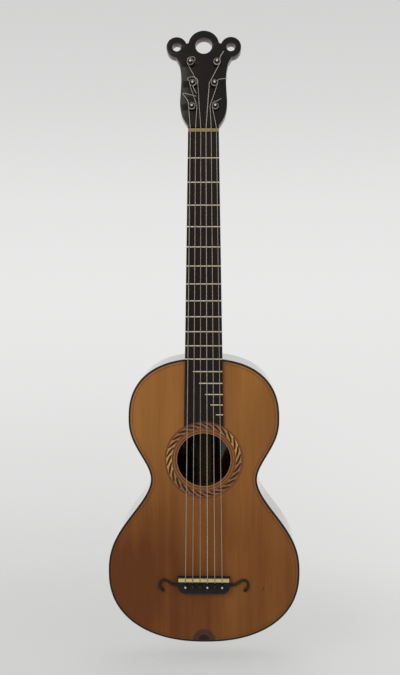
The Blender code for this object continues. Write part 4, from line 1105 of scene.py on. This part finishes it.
def stringRun(number):
    # the straight run from the bridge's slot to the peg, and where its winding starts
    s = stringShape
    radius = s["diameters"][number] / 2
    atSaddle = stringAcross(number, bridgeShape["pinSpread"])
    atNut = stringAcross(number, s["spreadAtNut"])
    slot = bridgeShape["pinsAt"] - s["slotAhead"]
    rear = bridgeShape["saddleRear"]
    overSaddle, overNut = s["overSaddle"] + radius, s["overNut"] + radius
    lean, rise = s["slotEdge"]
    behind, drop, ahead = s["saddleEdge"]
    bends = [
        onBench(atSaddle, slot, -s["endBelow"]), onBridge(atSaddle, slot, -s["slotBend"]),
        onBridge(atSaddle, slot - lean, rise),
        onBench(atSaddle, rear + behind, overSaddle - drop), onBench(atSaddle, rear - ahead, overSaddle),
        onBench(atNut, 0, overNut), onBench(atNut, -neckShape["nutLength"] - s["pastNut"], overNut),
    ]
    peg = pegPlaces[number]
    start = toHead(bends[-1])
    corners = [start]
    if s["passes"][number]:
        passed, side = s["passes"][number]
        corners.append(np.array([pegPlaces[passed][0] + side * s["passingRoom"], pegPlaces[passed][1], 0]))
    # the string meets the coil where its line touches the coil's circle
    reach = stringReach(number)
    towards = (corners[-1] - peg)[:2]
    angle = math.atan2(towards[1], towards[0]) + s["sides"][number] * math.acos(reach / np.hypot(*towards))
    touch = np.array([*circle(peg, reach, angle), s["start"]])
    corners.append(touch)
    if len(corners) == 3:
        lengths = [np.hypot(*(b - a)[:2]) for a, b in zip(corners, corners[1:])]
        corners[1][2] = start[2] + (touch[2] - start[2]) * lengths[0] / sum(lengths)
    along = corners[-1] - corners[-2]
    along /= np.linalg.norm(along)
    bends += [onHead(*corner) for corner in corners[1:-1] + [touch - along * s["lead"]]]
    return np.array(bends), touch, along, angle


def splitLong(points, step):
    # adds points on the straight stretches, so that the winding marks keep their scale
    run = runLength(points)
    even = np.unique(np.concatenate([run, np.arange(0, run[-1], step)]))
    return stacked(*(np.interp(even, run, column) for column in points.T))


def stringWinding(number):
    # lead-in, helix round the peg with a steady pitch, and the loose end, as one wire
    s = stringShape
    _, touch, along, startAngle = stringRun(number)
    side = s["sides"][number]
    middle = np.array([*pegPlaces[number][:2], 0])
    loose = np.array(s["looseEnds"][number]) * mm
    extra = (side * (math.atan2(loose[0][1], loose[0][0]) - startAngle)) % (2 * math.pi)
    total = 2 * math.pi * s["turns"] + extra - s["leaves"]
    turned = np.linspace(0, total, round(total / (2 * math.pi) * s["turnSteps"]))
    across, up = circle((0, 0), stringReach(number), startAngle + side * turned).T
    helix = stacked(across, up, s["start"] + s["pitch"] * turned / (2 * np.pi))
    lead = np.array([touch - along * s["lead"] * share - middle for share in s["leadShares"]])
    end = throughPoints(np.concatenate([helix[-4::3], loose]), 8)[8:]
    return onHead(*(np.concatenate([lead, helix[:-1], end]) + middle).T)


def makeStrings():
    # each string is a wire from its slot to its peg, and one wound round the peg that turns with it
    materials = {}
    for i, name in enumerate(stringNames):
        kind = "woundString" if i < stringShape["wound"] else "gutString"
        if kind not in materials:
            materials[kind] = stringMaterial(kind)
        radius = stringShape["diameters"][i] / 2
        path = splitLong(stringRun(i)[0], 8 * mm)
        wire("string_%s_run" % name, path, radius, materials[kind], sideways, stands=("string_" + name,))
        wire("string_%s_coil" % name, stringWinding(i), radius, materials[kind], headOut,
             body="tuning_peg_" + name, stands=("winding_" + name,))
    print("strings on")


# camera, light and floor

photoWidth = 400
cameraView = {
    # across the strings, back from the soundboard's face, up from the nut's edge
    "focalPixels": 1125.51, "across": 33.59 * mm, "back": -1600.17 * mm, "up": -147.58 * mm,
    "yaw": math.radians(-1.3919), "pitch": math.radians(5.0657), "roll": math.radians(-0.0785),
}


def makeCamera():
    c = cameraView
    data = bpy.data.cameras.new("photoCamera")
    data.sensor_fit = "HORIZONTAL"
    data.sensor_width = 36
    data.lens = c["focalPixels"] / photoWidth * data.sensor_width
    data.clip_start = 0.05
    camera = linked("photoCamera", data)
    yaw, pitch, roll = c["yaw"], c["pitch"], c["roll"]
    level = np.array([math.sin(yaw), math.cos(yaw), 0])
    ahead = level * math.cos(pitch) - np.array([0, 0, math.sin(pitch)])
    flat = np.array([math.cos(yaw), -math.sin(yaw), 0])
    upright = np.cross(flat, ahead)
    right = math.cos(roll) * flat + math.sin(roll) * upright
    up = math.cos(roll) * upright - math.sin(roll) * flat
    matrix = Matrix(stacked(right, up, -ahead).tolist()).to_4x4()
    matrix.translation = (c["across"], boardFace + c["back"], nutEdge + c["up"])
    camera.matrix_world = matrix
    bpy.context.scene.camera = camera


lamps = {
    # place, size and power; each is aimed at the body's waist
    "keyPanel": ((-1.3, -1.9, 0.7), 1.4, 30.0),
    "fillPanel": ((1.6, -1.6, 0.1), 1.4, 12.0),
    "topPanel": ((0.0, 0.6, 1.3), 1.2, 10.0),
}
lampAim = Vector((0, 0, nutEdge - 400 * mm))


def makeLamps():
    for name, (place, size, power) in lamps.items():
        data = bpy.data.lights.new(name, "AREA")
        data.size = size
        data.energy = power
        lamp = linked(name, data)
        lamp.location = place
        lamp.rotation_euler = (lampAim - Vector(place)).to_track_quat("-Z", "Y").to_euler()


room = {
    "diffuse": 0.62, "glossy": 0.92,
    # the backdrop as the camera sees it: sine of the elevation, brightness
    "tones": ((-0.37, 0.66), (-0.30, 0.67), (-0.23, 0.74), (-0.14, 0.785), (-0.055, 0.825), (0.033, 0.79),
              (0.10, 0.72), (0.194, 0.64)),
    "low": -0.4, "high": 0.25,
}


def makeWorld():
    # even light for the object, and a softly shaded backdrop behind it
    world = bpy.data.worlds.new("studio")
    bpy.context.scene.world = world
    world.use_nodes = True
    world.node_tree.nodes.clear()
    way = addNode(world, "TexCoord").outputs["Generated"]
    across, _, height = addNode(world, "SeparateXYZ", {0: way}).outputs
    low, high = room["low"], room["high"]
    tones = [((sine - low) / (high - low), (tone, tone, tone * 0.995)) for sine, tone in room["tones"]]
    backdrop = toneRamp(world, mapTo(world, height, low, high), tones, "B_SPLINE")
    # the lower right of the backdrop is a little brighter
    rightward = mapTo(world, across, -0.1, 0.2, -0.04, 0.1)
    lift = calc(world, "MULTIPLY", rightward, mapTo(world, height, -0.1, -0.3))
    seen = shaded(world, backdrop, calc(world, "ADD", lift, 1.0))
    path = addNode(world, "LightPath").outputs
    plain = addNode(world, "Background", {0: rgb(1, 1, 1), 1: room["diffuse"]}).outputs[0]
    bright = addNode(world, "Background", {0: rgb(1, 0.995, 0.985), 1: room["glossy"]}).outputs[0]
    shown = addNode(world, "Background", {0: seen, 1: 1.0}).outputs[0]
    mirrored = calc(world, "MAXIMUM", path["Is Glossy Ray"], path["Is Transmission Ray"])
    lit = addNode(world, "MixShader", {0: mirrored, 1: plain, 2: bright}).outputs[0]
    both = addNode(world, "MixShader", {0: path["Is Camera Ray"], 1: lit, 2: shown}).outputs[0]
    addNode(world, "OutputWorld", {0: both})


floorSheet = {
    "below": 42 * mm, "radii": (0.001, 0.2, 0.5, 0.75, 0.75, 0.001), "topRings": 4, "thickness": 2 * mm,
    "fadeFrom": 0.25, "fadeTo": 0.65, "clear": 0.82, "tone": 0.64,
}


def makeFloor():
    # a round sheet that takes the shadow and fades into the backdrop
    f = floorSheet
    steps = 96
    rings = circle((0, 0), np.array(f["radii"])[:, None], around(steps))
    top = startBox[0][2] - f["below"]
    height = np.where(np.arange(len(f["radii"])) < f["topRings"], top, top - f["thickness"])[:, None]
    grid = stacked(rings[..., 0], rings[..., 1], height)
    faces = gridFaces(len(grid), steps, closedColumns=True).tolist()
    mesh = bpy.data.meshes.new("floorSheet")
    mesh.from_pydata(grid.reshape(-1, 3).tolist(), [], faces)
    finishMesh(mesh)
    material = newMaterial("floorPaper", 0.9, Base_Color=rgb(f["tone"], f["tone"], f["tone"] * 0.985))
    x, y, _ = objectXYZ(material)
    fade = mapTo(material, reachOf(material, x, y), f["fadeFrom"], f["fadeTo"], f["clear"], 1.0, True)
    nodes = material.node_tree.nodes
    clear = addNode(material, "BsdfTransparent").outputs[0]
    mixed = addNode(material, "MixShader", {0: fade, 1: nodes["Principled BSDF"].outputs[0], 2: clear})
    material.node_tree.links.new(mixed.outputs[0], nodes["Material Output"].inputs["Surface"])
    mesh.materials.append(material)
    linked("floorSheet", mesh)


bpy.context.scene.view_settings.view_transform = "Standard"
makeCamera()
makeLamps()
makeWorld()
makeFloor()
print("studio ready")
dressFrame()
makeSideWalls()
makeBinding()
makeBack()
makeRosette()
makeTailInlay()
makeNeck()
makeFrets()
makeHead()
makePegs()
makeBridge()
makePins()
makeStrings()
